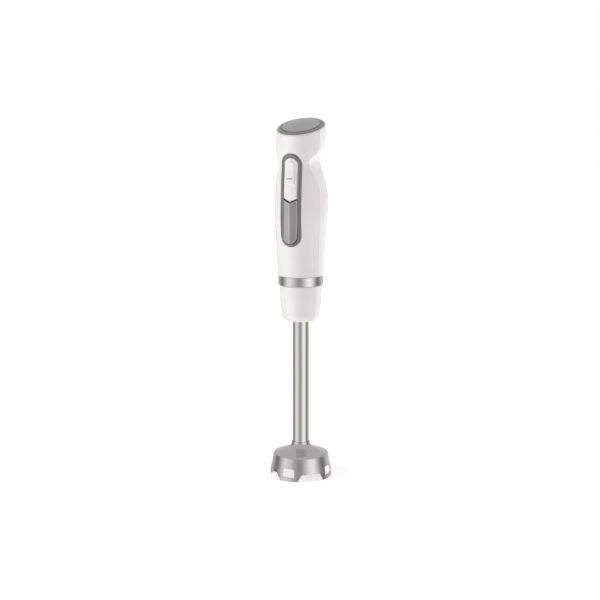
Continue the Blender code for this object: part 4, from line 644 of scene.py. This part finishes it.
def make_rear_shell():
    rows, columns = 170, 150
    top = Z_TOP - GAP
    edge = [EDGE_ROUND * s for s in ROLL_SHARES]
    levels = [Z_HANDLE + e for e in edge[:-1]] + spread(Z_HANDLE + edge[-1], top - TOP_ROUND, rows)
    levels += [top - TOP_ROUND * (1.0 - math.sin(math.radians(a))) for a in spread(15.0, 90.0, 6)]
    outer = []
    inner = []
    for level in levels:
        crease = fair(CREASE, level)
        radius = fair(FRONT_RADIUS, level)
        start = crease + PARTING_GAP / radius
        end = TAU - start
        round_by = [e / radius for e in edge]
        angles = [start + e for e in round_by[:-1]]
        angles += spread(start + round_by[-1], end - round_by[-1], columns)
        angles += [end - e for e in reversed(round_by[:-1])]
        depths = [roll(min(a - start, end - a) * radius) for a in angles]
        level_roll = max(roll(level - Z_HANDLE), top_roll(level))
        outer.append([case_point(a, level, max(d, level_roll)) for a, d in zip(angles, depths)])
        inner.append([case_point(a, level, CASE_WALL) for a in angles])
    shell = slab("rear_shell_skin", outer, inner)
    inlet = (low("cord_gland").z + high("cord_gland").z) / 2
    wall = high("cord_gland").y
    ends = [(0.0, wall + past, inlet) for past in (-20.0 * MM, 5.0 * MM)]
    boolean(shell, cylinder_between("inlet_hole", 5.3 * MM, *ends))
    place(shell, "motor_unit", "grip_white", "rear_shell")


def make_cord_gland():
    inlet = (low("cord_gland").z + high("cord_gland").z) / 2
    outline = rounded([
        (5.0 * MM, -8.5 * MM, 0.3 * MM),
        (3.4 * MM, -8.5 * MM, 0.3 * MM),
        (3.4 * MM, 1.5 * MM, 0.5 * MM),
        (6.8 * MM, 1.5 * MM, 0.9 * MM),
        (6.8 * MM, 0.0, 0.1 * MM),
        (5.0 * MM, 0.0, 0.1 * MM),
    ], 5)
    gland = lathe("cord_gland_ring", outline, 96)
    gland.data.transform(Matrix.Rotation(-math.pi / 2, 4, "X"))
    gland.data.transform(Matrix.Translation((0.0, high("cord_gland").y - 1.5 * MM, inlet)))
    place(gland, "motor_unit", "rubber", "cord_gland")


# ---- Switch panel ----------------------------------------------------------------------
def make_panel_frame():
    """The dark bezel: a rounded outer edge, a face that falls gently inwards, and an inner wall."""
    end_steps, side_steps = 64, 80
    outer = stadium(PANEL_HALF_WIDTH, PANEL_LOW, PANEL_HIGH, end_steps, side_steps)
    inner = stadium(PANEL_HALF_WIDTH - FRAME_SIDE, OPENING_LOW, OPENING_HIGH, end_steps, side_steps)
    face = [
        (0.0, -PANEL_DEPTH),
        (0.0, 0.05 * MM),
        (0.015, 0.30 * MM),
        (0.05, 0.50 * MM),
        (0.11, 0.64 * MM),
        (0.20, PANEL_PROUD),
        (0.45, 0.66 * MM),
        (0.70, 0.50 * MM),
        (0.88, 0.34 * MM),
        (0.95, 0.24 * MM),
        (0.985, 0.08 * MM),
        (1.0, -0.15 * MM),
        (1.0, -PANEL_DEPTH),
    ]
    rings = []
    for share, offset in face:
        between = [Vector(start).lerp(Vector(end), share) for start, end in zip(outer, inner)]
        rings.append([on_front(x, z, offset) for x, z in between])
    bezel = loft("panel_bezel", rings, closed_loop=True)
    place(bezel, "motor_unit", "dark_grey", "panel_frame")


def button_shell(name, low_edge, high_edge, rise, edge, sink):
    """A button wrapped on the casing's front, with a rolled edge, between two edges z of x."""
    columns, rows = 56, 110
    near = [0.0, 0.04, 0.14, 0.32, 0.60, 1.0]
    sideways = [math.sin(math.radians(a)) for a in spread(-90.0, 90.0, columns + 1)]
    outer = []
    inner = []
    for r in range(rows + 1 + 2 * (len(near) - 1)):
        front_row = []
        back_row = []
        for s in sideways:
            x = BUTTON_HALF * s
            bottom, top = low_edge(x), high_edge(x)
            length = max(top - bottom, 1e-6)
            if r < len(near) - 1:
                along = edge * near[r]
            elif r > rows + len(near) - 1:
                along = length - edge * near[rows + 2 * (len(near) - 1) - r]
            else:
                along = edge + (length - 2 * edge) * (r - len(near) + 1) / rows
            z = bottom + along
            from_side = BUTTON_HALF - abs(x)
            distance = min(along, length - along, from_side)
            share = min(distance / edge, 1.0)
            shoulder = math.sqrt(max(1.0 - (1.0 - share) ** 2, 0.0))
            lift = rise(x, z)
            front_row.append(on_front(x, z, lift * shoulder - sink * (1.0 - shoulder)))
            back_row.append(on_front(x, z, -BUTTON_DEPTH))
        outer.append(front_row)
        inner.append(back_row)
    return slab(name, outer, inner, 50.0)


def round_top(x):
    return OPENING_HIGH - GAP - BUTTON_HALF + math.sqrt(max(BUTTON_HALF**2 - x**2, 0.0))


def round_bottom(x):
    return OPENING_LOW + GAP + BUTTON_HALF - math.sqrt(max(BUTTON_HALF**2 - x**2, 0.0))


def v_edge(x):
    return BUTTON_SPLIT - BUTTON_V_DEPTH * (0.5 - abs(x) / BUTTON_HALF)


def thumb_share(x, z):
    """1 on the thumb pad and 0 off it: a tongue with a round upper end that fades out below."""
    centre = THUMB_TOP - THUMB_HALF_WIDTH
    distance = math.hypot(x, max(z - centre, 0.0))
    inside = smooth_step((THUMB_HALF_WIDTH + 0.7 * MM - distance) / (1.5 * MM))
    return inside * smooth_step((z - THUMB_TOP + THUMB_LENGTH) / (3.0 * MM))


def upper_rise(x, z):
    return BUTTON_PROUD + THUMB_RISE * thumb_share(x, z)


def lower_rise(x, z):
    """Two flat upright facets that meet in a ridge down the middle, rounded over at its crest."""
    across = math.sqrt((x / BUTTON_HALF) ** 2 + 0.0025) - 0.05
    ridge = fair(FRONT_RADIUS, (OPENING_LOW + BUTTON_SPLIT) / 2) + BUTTON_PROUD + RIDGE_RISE
    depth = ridge - RIDGE_FALL * across
    return math.hypot(depth, x) - fair(FRONT_RADIUS, z)


def add_stem(obj, plunger, level):
    """Joins the stem that pushes the microswitch's plunger to the back of a button."""
    front = -(fair(FRONT_RADIUS, level) - BUTTON_DEPTH / 2)
    back = low(plunger).y - GAP
    square = [(-STEM_HALF, level - STEM_HALF), (STEM_HALF, level - STEM_HALF),
              (STEM_HALF, level + STEM_HALF), (-STEM_HALF, level + STEM_HALF)]
    rings = [[(x, y, z) for x, z in square] for y in (front, back)]
    boolean(obj, loft(f"{plunger}_stem", rings), "UNION")


def make_buttons():
    upper = button_shell("upper_button_cap", lambda x: v_edge(x) + BUTTON_V_GAP / 2, round_top, upper_rise,
                         2.2 * MM, 1.4 * MM)
    add_stem(upper, "on_plunger", PANEL_HIGH - ON_SWITCH_DROP)
    place(upper, "upper_button", "gloss_white", "on_button")
    lower = button_shell("lower_button_cap", round_bottom, lambda x: v_edge(x) - BUTTON_V_GAP / 2, lower_rise,
                         0.8 * MM, 0.5 * MM)
    add_stem(lower, "turbo_plunger", PANEL_HIGH - TURBO_SWITCH_DROP)
    place(lower, "lower_button", "mid_grey", "turbo_button")
    make_marks()


def make_marks():
    """A plain row of bars and two dots, inlaid in the upper button's thumb pad."""
    level = THUMB_TOP - 18.6 * MM
    marks = [(f"level_bar_{i}", (i - 1) * 2.1 * MM, level, 1.6 * MM, 1.4 * MM, "mark_grey") for i in range(3)]
    marks += [(f"level_dot_{i}", (side + 0.8) * 0.9 * MM, level - 4.0 * MM, 0.8 * MM, 0.8 * MM, "mark_amber")
              for i, side in enumerate((-1, 1))]
    for name, x, z, width, height, finish in marks:
        corners = rounded_box(x, z, width, height, 0.25 * MM)
        rings = []
        for inset, lift in ((1.0, -0.25 * MM), (1.0, 0.02 * MM), (0.86, 0.05 * MM)):
            ring = []
            for px, pz in corners:
                sx = x + (px - x) * inset
                sz = z + (pz - z) * inset
                ring.append(on_front(sx, sz, upper_rise(sx, sz) + lift))
            rings.append(ring)
        place(loft(name, rings), "upper_button", "dark_grey", finish=finish)


# ---- Slanted top -----------------------------------------------------------------------
RIM_PROUD = 1.0 * MM
DIAL_RADIUS = 21.0 * MM
DIAL_CLEARANCE = 0.4 * MM
DIAL_RECESS = 2.6 * MM
DIAL_PROUD = 2.8 * MM
DIAL_ROOF = DIAL_PROUD - 2.2 * MM
DIAL_FLUTES = 90
DIAL_FILLET = 0.7 * MM
DIAL_CROWN = 1.1 * MM


def make_top_rim():
    """The dark rim, set in from the casing's rounded edge, with a round recess for the dial."""
    steps = 240
    angles = [TAU * i / steps for i in range(steps)]
    slope = math.tan(TOP_TILT)
    lift = Vector((0.0, -math.sin(TOP_TILT), math.cos(TOP_TILT)))

    def edge(inset, height):
        ring = []
        for angle in angles:
            radius = case_radius(angle, Z_TOP) - RIM_INSET - inset
            x, y = radius * math.sin(angle), -radius * math.cos(angle)
            ring.append(Vector((x, y, Z_TOP + y * slope)) + lift * height)
        return ring

    def circle(radius, height):
        return [top_point(radius, angle, height) for angle in angles]

    recess = DIAL_RADIUS + DIAL_CLEARANCE
    bore = 3.3 * MM
    floor = -DIAL_RECESS - 2.0 * MM
    fall = 0.5 * MM      # from the rim's inner edge to its outer one
    lip = 0.38 * MM      # rounding of its outer edge
    rings = [edge(0.15 * MM, 0.0), edge(0.0, 0.12 * MM)]
    for angle in spread(0.0, 90.0, 7):
        turn = math.radians(angle)
        rings.append(edge(lip * (1 - math.cos(turn)), RIM_PROUD - fall - lip * (1 - math.sin(turn))))
    rings += [
        circle(recess + 2.2 * MM, RIM_PROUD - fall * 0.6),
        circle(recess + 0.25 * MM, RIM_PROUD),
        circle(recess + 0.07 * MM, RIM_PROUD - 0.07 * MM),
        circle(recess, RIM_PROUD - 0.25 * MM),
        circle(recess, -DIAL_RECESS),
        circle(bore, -DIAL_RECESS),
        circle(bore, floor),
        circle(recess + 1.9 * MM, floor),
        circle(recess + 1.9 * MM, 0.0),
    ]
    rim = loft("top_rim_ring", rings, closed_loop=True)
    place(rim, "motor_unit", "dark_grey", "top_rim", finish="rim_grey")


def make_dial():
    """The dial: a low domed face, a rounded shoulder and a finely fluted side."""
    steps = DIAL_FLUTES * 8
    bottom = DIAL_CLEARANCE - DIAL_RECESS
    edge = DIAL_RADIUS - DIAL_FILLET
    outline = [(r, DIAL_PROUD - DIAL_CROWN * (r / edge) ** 2) for r in spread(0.0, edge, 14)[:-1]]
    fillet_centre = (edge, DIAL_PROUD - DIAL_CROWN - DIAL_FILLET)
    outline += arc(fillet_centre, DIAL_FILLET, 84.0, 0.0, 8)
    fluted_from = len(outline) - 2
    outline += [(DIAL_RADIUS, z) for z in spread(0.8 * MM, bottom + 0.3 * MM, 3)]
    fluted_to = len(outline) - 1
    inner = DIAL_RADIUS - 2.2 * MM
    outline += [
        (DIAL_RADIUS - 0.3 * MM, bottom),
        (inner, bottom),
        (inner, DIAL_ROOF),
        (5.5 * MM, DIAL_ROOF),
        (5.5 * MM, bottom),
        (3.3 * MM, bottom),
        (3.3 * MM, DIAL_ROOF),
        (0.0, DIAL_ROOF),
    ]
    points = []
    for k, (radius, height) in enumerate(outline[1:-1], start=1):
        for i in range(steps):
            angle = TAU * i / steps
            cut = 0.0
            if fluted_from <= k <= fluted_to:
                wave = 0.5 - 0.5 * math.cos(angle * DIAL_FLUTES)
                cut = 0.16 * MM * wave**2
            points.append(top_point(radius - cut, angle, height))
    points += [top_point(0.0, 0.0, outline[0][1]), top_point(0.0, 0.0, outline[-1][1])]
    rings = len(outline) - 2
    faces = []
    for i in range(steps):
        j = (i + 1) % steps
        for r in range(rings - 1):
            faces.append((r * steps + i, r * steps + j, (r + 1) * steps + j, (r + 1) * steps + i))
        faces.append((rings * steps, j, i))
        faces.append((rings * steps + 1, (rings - 1) * steps + i, (rings - 1) * steps + j))
    dial = mesh_object("dial_cap", points, faces, 40.0)
    place(dial, "dial", "mid_grey", "speed_dial")
    corners = rounded_box(0.0, -17.1 * MM, 0.8 * MM, 3.0 * MM, 0.35 * MM)

    def pointer_point(x, y, lift):
        radius = math.hypot(x, y)
        return top_point(radius, math.atan2(x, y), DIAL_PROUD - DIAL_CROWN * (radius / edge) ** 2 + lift)

    rings = [[pointer_point(x, y, lift) for x, y in corners] for lift in (-0.4 * MM, 0.03 * MM)]
    place(loft("dial_pointer", rings), "dial", "gloss_white")


# ---- Band, collar and tube -------------------------------------------------------------
def make_band():
    radius, wall = high("trim_band").x, 2.6 * MM
    z0, z1 = low("trim_band").z, high("trim_band").z
    edge, straight = 0.35 * MM, 0.25 * MM
    outline = [(radius - wall, z0)]
    outline += arc((radius - edge, z0 + edge), edge, -90.0, 0.0, 6)
    outline += [(radius, z0 + edge + straight), (radius, z1 - edge - straight)]
    outline += arc((radius - edge, z1 - edge), edge, 0.0, 90.0, 6)
    outline += [(radius - wall, z1)]
    band = lathe("trim_band_ring", outline, 192)
    place(band, "motor_unit", "bright_steel", "trim_band", finish="band_steel")


COLLAR_SEAM = math.radians(69.5)     # in line with the casing's parting line above


def make_collar():
    """A tapering cup with a rounded lower end that closes round the tube."""
    top_radius, mid_radius, low_radius, base_radius = (v * MM for v in (23.3, 22.8, 21.3, 16.5))
    mid = Z_COLLAR_TOP - 17.0 * MM
    bend = Z_COLLAR + 9.3 * MM
    wall = 2.0 * MM
    bore = TUBE_RADIUS + GAP
    taper = [(Z_COLLAR, low_radius), (bend, low_radius), (mid, mid_radius), (Z_COLLAR_TOP, top_radius)]
    outline = [(bore, Z_COLLAR + 0.6 * MM), (bore + 0.6 * MM, Z_COLLAR)]
    for angle in spread(-90.0, 0.0, 16):
        turn = math.radians(angle)
        radius = base_radius + (low_radius - base_radius) * math.cos(turn)
        outline.append((radius, bend + (bend - Z_COLLAR) * math.sin(turn)))
    outline += [(fair(taper, z), z) for z in spread(bend, Z_COLLAR_TOP - 0.5 * MM, 24)[1:]]
    outline += arc((top_radius - 0.5 * MM, Z_COLLAR_TOP - 0.5 * MM), 0.5 * MM, 0.0, 90.0, 5)
    outline += [
        (top_radius - wall, Z_COLLAR_TOP),
        (mid_radius - wall, mid),
        (low_radius - wall, bend),
        (base_radius, Z_COLLAR + 2.4 * MM),
        (bore + 2.2 * MM, Z_COLLAR + 2.4 * MM),
        (bore + 2.2 * MM, Z_COLLAR + 18.0 * MM),
        (bore, Z_COLLAR + 18.0 * MM),
    ]
    seam = COLLAR_SEAM
    near = [seam + math.radians(d) for d in (-0.7, -0.35, 0.0, 0.35, 0.7)]
    angles = spread(-near[0], near[0], 64) + near[1:] + spread(near[-1], TAU - near[-1], 100)[1:]
    angles += [TAU - a for a in reversed(near[1:-1])]
    points = []
    for radius, height in outline:
        for angle in angles:
            off = abs(min(angle % TAU, TAU - angle % TAU) - seam)
            outside = radius > base_radius and height < Z_COLLAR_TOP - 0.1 * MM
            groove = 0.14 * MM * max(1.0 - off / math.radians(0.6), 0.0) if outside else 0.0
            points.append(polar_point(angle, radius - groove, height))
    count = len(angles)
    rings = [points[i:i + count] for i in range(0, len(points), count)]
    cup = loft("collar_cup", rings, closed_loop=True, sharp=50.0)
    place(cup, "foot", "gloss_white", "foot_collar")
    cup.data.materials.append(MATERIALS["grip_white"])
    for polygon in cup.data.polygons:
        middle = polygon.center
        angle = abs(math.atan2(middle.x, -middle.y))
        if angle > seam and math.hypot(middle.x, middle.y) > base_radius:
            polygon.material_index = 1


def make_tube():
    z0, z1 = low("shaft_tube").z, high("shaft_tube").z
    wall = 0.9 * MM
    outline = [(TUBE_RADIUS, z) for z in spread(z0, z1, 24)]
    outline += [(TUBE_RADIUS - wall, z1), (TUBE_RADIUS - wall, z0)]
    place(lathe("tube_sleeve", outline, 128), "foot", "bright_steel", "shaft_tube")


# ---- Blade guard, hub and blade --------------------------------------------------------
Z_RIM = 7.8 * MM
Z_SHOULDER = Z_RIM + 19.2 * MM
GUARD_SHOULDER_RADIUS = 30.7 * MM
GUARD_WALL = 1.2 * MM
SHOULDER_FILLET = 3.3 * MM
FLARE_FILLET = 7.3 * MM
FLARE_EDGE = 0.9 * MM
SKIRT_CURVE = 1.3
FEET = 4
FOOT_TOP = math.radians(26.5)      # half of a foot's width, as an angle round the axis
FOOT_SOLE = math.radians(18.0)


def skirt(inset, count=22):
    top = Z_SHOULDER - SHOULDER_FILLET
    points = []
    for i in range(1, count + 1):
        share = i / count
        spread_out = (GUARD_RIM_RADIUS - GUARD_SHOULDER_RADIUS) * share**SKIRT_CURVE
        points.append((GUARD_SHOULDER_RADIUS + spread_out - inset, top + (Z_RIM - top) * share))
    return points


def prism_through(name, outline, angle, reach):
    """A prism square to the axis, right through it, from (across, height) points."""
    along = Vector((math.sin(angle), -math.cos(angle), 0.0))
    across = Vector((math.cos(angle), math.sin(angle), 0.0))
    rings = []
    for depth in (-reach, reach):
        rings.append([along * depth + across * u + Vector((0.0, 0.0, z)) for u, z in outline])
    return loft(name, rings)


def make_guard():
    """Stamped steel: flare, domed top, shoulder, skirt, and four feet with a window each."""
    flare_centre = (TUBE_RADIUS + FLARE_EDGE + FLARE_FILLET, Z_FLARE)
    shoulder_centre = (GUARD_SHOULDER_RADIUS - SHOULDER_FILLET, Z_SHOULDER - SHOULDER_FILLET)
    rise = Z_FLARE - FLARE_FILLET - Z_SHOULDER
    lean = math.degrees(math.atan2(rise, shoulder_centre[0] - flare_centre[0]))
    bore = TUBE_RADIUS + GAP
    outer = arc(flare_centre, FLARE_FILLET, 180.0, 270.0 - lean, 20)
    shoulder = arc(shoulder_centre, SHOULDER_FILLET, 90.0 - lean, 0.0, 14)
    dome = [tuple(Vector(outer[-1]).lerp(Vector(shoulder[0]), t)) for t in spread(0.0, 1.0, 10)[1:-1]]
    outer += dome + shoulder + skirt(0.0)
    outer += [(GUARD_RIM_RADIUS, z) for z in spread(Z_RIM, 0.0, 8)[1:]]
    inner_fillet = SHOULDER_FILLET - GUARD_WALL
    inner_flare = FLARE_FILLET + GUARD_WALL
    inner = [(GUARD_RIM_RADIUS - GUARD_WALL, z) for z in spread(0.0, Z_RIM, 8)]
    inner += list(reversed(skirt(GUARD_WALL)))[1:]
    inner += arc(shoulder_centre, inner_fillet, 0.0, 90.0 - lean, 10)
    start = math.degrees(math.acos((flare_centre[0] - bore) / inner_flare))
    inner += arc(flare_centre, inner_flare, 270.0 - lean, 180.0 + start, 12)
    inner.append((bore, Z_FLARE))
    guard = lathe("guard_shell", outer + inner, 192)

    quarter = math.pi / FEET
    half_top, half_bottom = (GUARD_RIM_RADIUS * math.sin(quarter - angle) for angle in (FOOT_TOP, FOOT_SOLE))
    slope = (half_bottom - half_top) / Z_RIM
    notch = rounded([
        (-half_bottom - slope * 3.0 * MM, -3.0 * MM, 0.0),
        (half_bottom + slope * 3.0 * MM, -3.0 * MM, 0.0),
        (half_top, Z_RIM, 1.6 * MM),
        (-half_top, Z_RIM, 1.6 * MM),
    ], 6)
    sill, top = 4.2 * MM, 13.6 * MM
    window = rounded([
        (-7.6 * MM, sill, 1.4 * MM),
        (7.6 * MM, sill, 1.4 * MM),
        (6.2 * MM, top, 2.6 * MM),
        (-6.2 * MM, top, 2.6 * MM),
    ], 7)
    for i in range(FEET // 2):
        turn = math.pi / 2 * i
        boolean(guard, prism_through("notch", notch, turn + quarter, 50.0 * MM))
        boolean(guard, prism_through("window", window, turn, 50.0 * MM))
    bevel_edges(guard, 0.18 * MM, 50.0)
    place(guard, "foot", "satin_steel", "blade_guard")


def make_hub():
    spigot = 7.8 * MM
    top = high("hub_housing").z
    bottom = low("hub_housing").z
    shoulder = low("shaft_tube").z - GAP
    skirt_radius = high("hub_housing").x
    skirt_z = shoulder - (skirt_radius - TUBE_RADIUS)
    seal_seat, seal_top = 5.8 * MM, bottom + 3.6 * MM
    bore, seat = 2.95 * MM, 5.3 * MM
    bush_low = low("lower_bush").z
    outline = rounded([
        (spigot, top, 0.3 * MM),
        (spigot, shoulder, 0.0),
        (TUBE_RADIUS, shoulder, 0.3 * MM),
        (skirt_radius, skirt_z, 0.6 * MM),
        (skirt_radius, skirt_z - GUARD_WALL, 0.5 * MM),
        (7.2 * MM, bottom + GUARD_WALL, 0.6 * MM),
        (7.2 * MM, bottom, 0.4 * MM),
        (seal_seat, bottom, 0.2 * MM),
        (seal_seat, seal_top, 0.0),
        (bore, seal_top, 0.0),
        (bore, bush_low - GAP, 0.0),
        (seat, bush_low - GAP, 0.0),
        (seat, top, 0.0),
    ], 4)
    place(lathe("hub_body", outline, 96), "foot", "natural_plastic", "hub_housing")


def make_blade():
    """A twisted two-wing blade with a ground leading edge, on a round hub."""
    level = 11.4 * MM
    half = 48
    section = [(-0.5, -0.05), (-0.30, -0.45), (0.5, -0.5), (0.5, 0.5), (-0.24, 0.45), (-0.5, 0.05)]
    rings = []
    for i in range(-half, half + 1):
        share = i / half
        x = high("blade").x * share
        width = (10.0 - 4.0 * abs(share)) * MM
        lift = 2.4 * MM * share * abs(share)
        pitch = math.tan(math.radians(9.0)) * share
        sweep = 2.0 * MM * share * abs(share)
        ring = []
        tip = 1.0 - 0.35 * smooth_step((abs(share) - 0.9) / 0.1)
        for across, up in section:
            y = width * across * tip + sweep
            ring.append((x, y, level + lift + y * pitch + 1.3 * MM * up))
        rings.append(ring)
    blade = loft("blade_wings", rings, sharp=25.0)
    hub = rounded([(2.8 * MM, level - 2.0 * MM, 0.2 * MM), (5.0 * MM, level - 2.0 * MM, 0.5 * MM),
                   (5.0 * MM, level + 2.0 * MM, 0.5 * MM), (2.8 * MM, level + 2.0 * MM, 0.2 * MM)])
    bore = cylinder_between("blade_bore", 2.8 * MM, (0.0, 0.0, 0.0), (0.0, 0.0, 2 * level), 64)
    boolean(blade, bore)
    boolean(blade, lathe("blade_hub", hub, 64), "UNION")
    place(blade, "blade_drive", "bright_steel", "blade", finish="band_steel")


# ---- Studio ----------------------------------------------------------------------------
CAMERA_AZIMUTH = math.radians(24.8)
CAMERA_DISTANCE = 1.690
CAMERA_HEIGHT = 0.478
CAMERA_TARGET = 0.1975
AIM_LEFT = 0.87 * MM
CAMERA_LENS = 93.5
LIGHT_AIM = (0.0, 0.0, 0.2)


def direction(azimuth, elevation):
    """Unit vector towards an azimuth, 0 out of the panel and 90 to the right, in degrees."""
    a, e = math.radians(azimuth), math.radians(elevation)
    return Vector((math.sin(a) * math.cos(e), -math.cos(a) * math.cos(e), math.sin(e)))


def look_at(obj, target):
    obj.rotation_euler = (Vector(target) - obj.location).to_track_quat("-Z", "Y").to_euler()


def make_camera():
    data = bpy.data.cameras.new("camera")
    data.lens = CAMERA_LENS
    data.sensor_width = 36.0
    data.clip_start = 0.05
    data.clip_end = 50.0
    camera = bpy.data.objects.new("camera", data)
    bpy.context.scene.collection.objects.link(camera)
    camera.location = polar_point(CAMERA_AZIMUTH, CAMERA_DISTANCE, CAMERA_HEIGHT)
    aim = Vector((-AIM_LEFT * math.cos(CAMERA_AZIMUTH), -AIM_LEFT * math.sin(CAMERA_AZIMUTH), CAMERA_TARGET))
    look_at(camera, aim)
    bpy.context.scene.camera = camera


def make_stage():
    """A pale sweep that glows like a light table, hidden from reflections."""
    pale, white = rgb((0.9, 0.9, 0.9)), rgb((1.0, 1.0, 1.0))
    tree, shader = new_material("backdrop", Base_Color=pale, Emission_Color=white, Roughness=0.9,
                                Specular_IOR_Level=0.0)
    separate = add_node(tree, "SeparateXYZ", Vector=object_coordinates(tree))
    flat = add_node(tree, "CombineXYZ", X=separate.outputs["X"], Y=separate.outputs["Y"])
    length = add_node(tree, "VectorMath", {"operation": "LENGTH"})
    tree.links.new(flat.outputs[0], length.inputs[0])
    glow = remap(tree, length.outputs["Value"], 0.60, 1.0, 0.15, 1.2)
    tree.links.new(glow, shader.inputs["Emission Strength"])
    middle, rim, thickness = 1e-9, 4.0, 0.02
    outline = [(middle, 0.0), (rim, 0.0), (rim, -thickness), (middle, -thickness)]
    floor = lathe("floor", outline, 64)
    floor.data.transform(Matrix.Translation((0.0, 0.0, -0.2 * MM)))
    floor.data.materials.append(MATERIALS["backdrop"])
    floor.visible_glossy = False


# What reflections see round the object, as (azimuth in degrees, brightness): a soft box to each side
# of the camera, a dark flag beyond each, and an even ceiling above
SURROUND = [(-180, 0.7), (-120, 0.6), (-85, 0.25), (-40, 1.0), (20, 0.4), (70, 1.2), (120, 0.25), (160, 0.7)]
CEILING = 0.6
CEILING_BLEND = [(10.0, 0.0), (30.0, 1.0)]


def make_world():
    """An even sky for diffuse light; reflections see two soft boxes, two dark flags and a ceiling."""
    world = bpy.data.worlds.new("studio")
    bpy.context.scene.world = world
    world.use_nodes = True
    tree = world.node_tree
    background = tree.nodes["Background"]
    output = next(n for n in tree.nodes if n.type == "OUTPUT_WORLD")
    background.inputs["Color"].default_value = (1.0, 0.995, 0.985, 1.0)
    background.inputs["Strength"].default_value = 0.29

    coordinates = add_node(tree, "TexCoord").outputs["Generated"]
    separate = add_node(tree, "SeparateXYZ", Vector=coordinates)

    def ramp(value, stops):
        node = add_node(tree, "ValToRGB")
        tree.links.new(value, node.inputs[0])
        node.color_ramp.interpolation = "EASE"
        elements = node.color_ramp.elements
        while len(elements) < len(stops):
            elements.new(0.5)
        for element, (position, level) in zip(elements, stops):
            element.position = position
            element.color = (level, level, level, 1.0)
        return node.outputs[0]

    minus_y = maths(tree, "MULTIPLY", separate.outputs["Y"], -1.0)
    turn = maths(tree, "ARCTAN2", separate.outputs["X"], minus_y)
    azimuth = maths(tree, "ADD", maths(tree, "DIVIDE", turn, TAU), 0.5)
    lift = maths(tree, "ARCSINE", separate.outputs["Z"])
    elevation = maths(tree, "ADD", maths(tree, "DIVIDE", lift, math.pi), 0.5)

    upwards = ramp(elevation, [((e + 90.0) / 180.0, share) for e, share in CEILING_BLEND])
    around = ramp(azimuth, [((a + 180.0) / 360.0, level) for a, level in SURROUND])
    fields = mix_colours(tree, upwards, around, rgb((CEILING, CEILING, CEILING)))
    reflections = add_node(tree, "Background")
    tree.links.new(fields, reflections.inputs["Color"])
    backdrop = add_node(tree, "Background", Color=rgb((1.0, 1.0, 1.0)), Strength=1.0)
    light_path = add_node(tree, "LightPath")
    shown = background.outputs[0]
    for ray, shader in (("Is Glossy Ray", reflections), ("Is Camera Ray", backdrop)):
        choice = add_node(tree, "MixShader")
        for index, value in enumerate((light_path.outputs[ray], shown, shader.outputs[0])):
            feed(tree, choice.inputs[index], value)
        shown = choice.outputs[0]
    tree.links.new(shown, output.inputs["Surface"])


def make_light(name, azimuth, elevation, distance, size, power, colour):
    data = bpy.data.lights.new(name, "AREA")
    data.shape = "RECTANGLE"
    data.size, data.size_y = size
    data.energy = power
    data.color = colour
    light = bpy.data.objects.new(name, data)
    bpy.context.scene.collection.objects.link(light)
    light.location = Vector(LIGHT_AIM) + direction(azimuth, elevation) * distance
    look_at(light, LIGHT_AIM)
    light.visible_glossy = False


def make_studio():
    make_world()
    make_stage()
    make_light("key", -48.0, 20.0, 1.6, (0.9, 1.3), 11.5, (1.0, 1.0, 0.985))
    make_light("rim", 129.0, 12.0, 1.5, (0.7, 1.3), 9.5, (1.0, 0.99, 0.985))
    scene = bpy.context.scene
    scene.view_settings.view_transform = "Standard"
    scene.view_settings.look = "None"


make_materials()
dress_frame()
make_front_shell()
make_rear_shell()
make_cord_gland()
make_panel_frame()
make_buttons()
make_top_rim()
make_dial()
make_band()
make_collar()
make_tube()
make_guard()
make_hub()
make_blade()
make_camera()
make_studio()
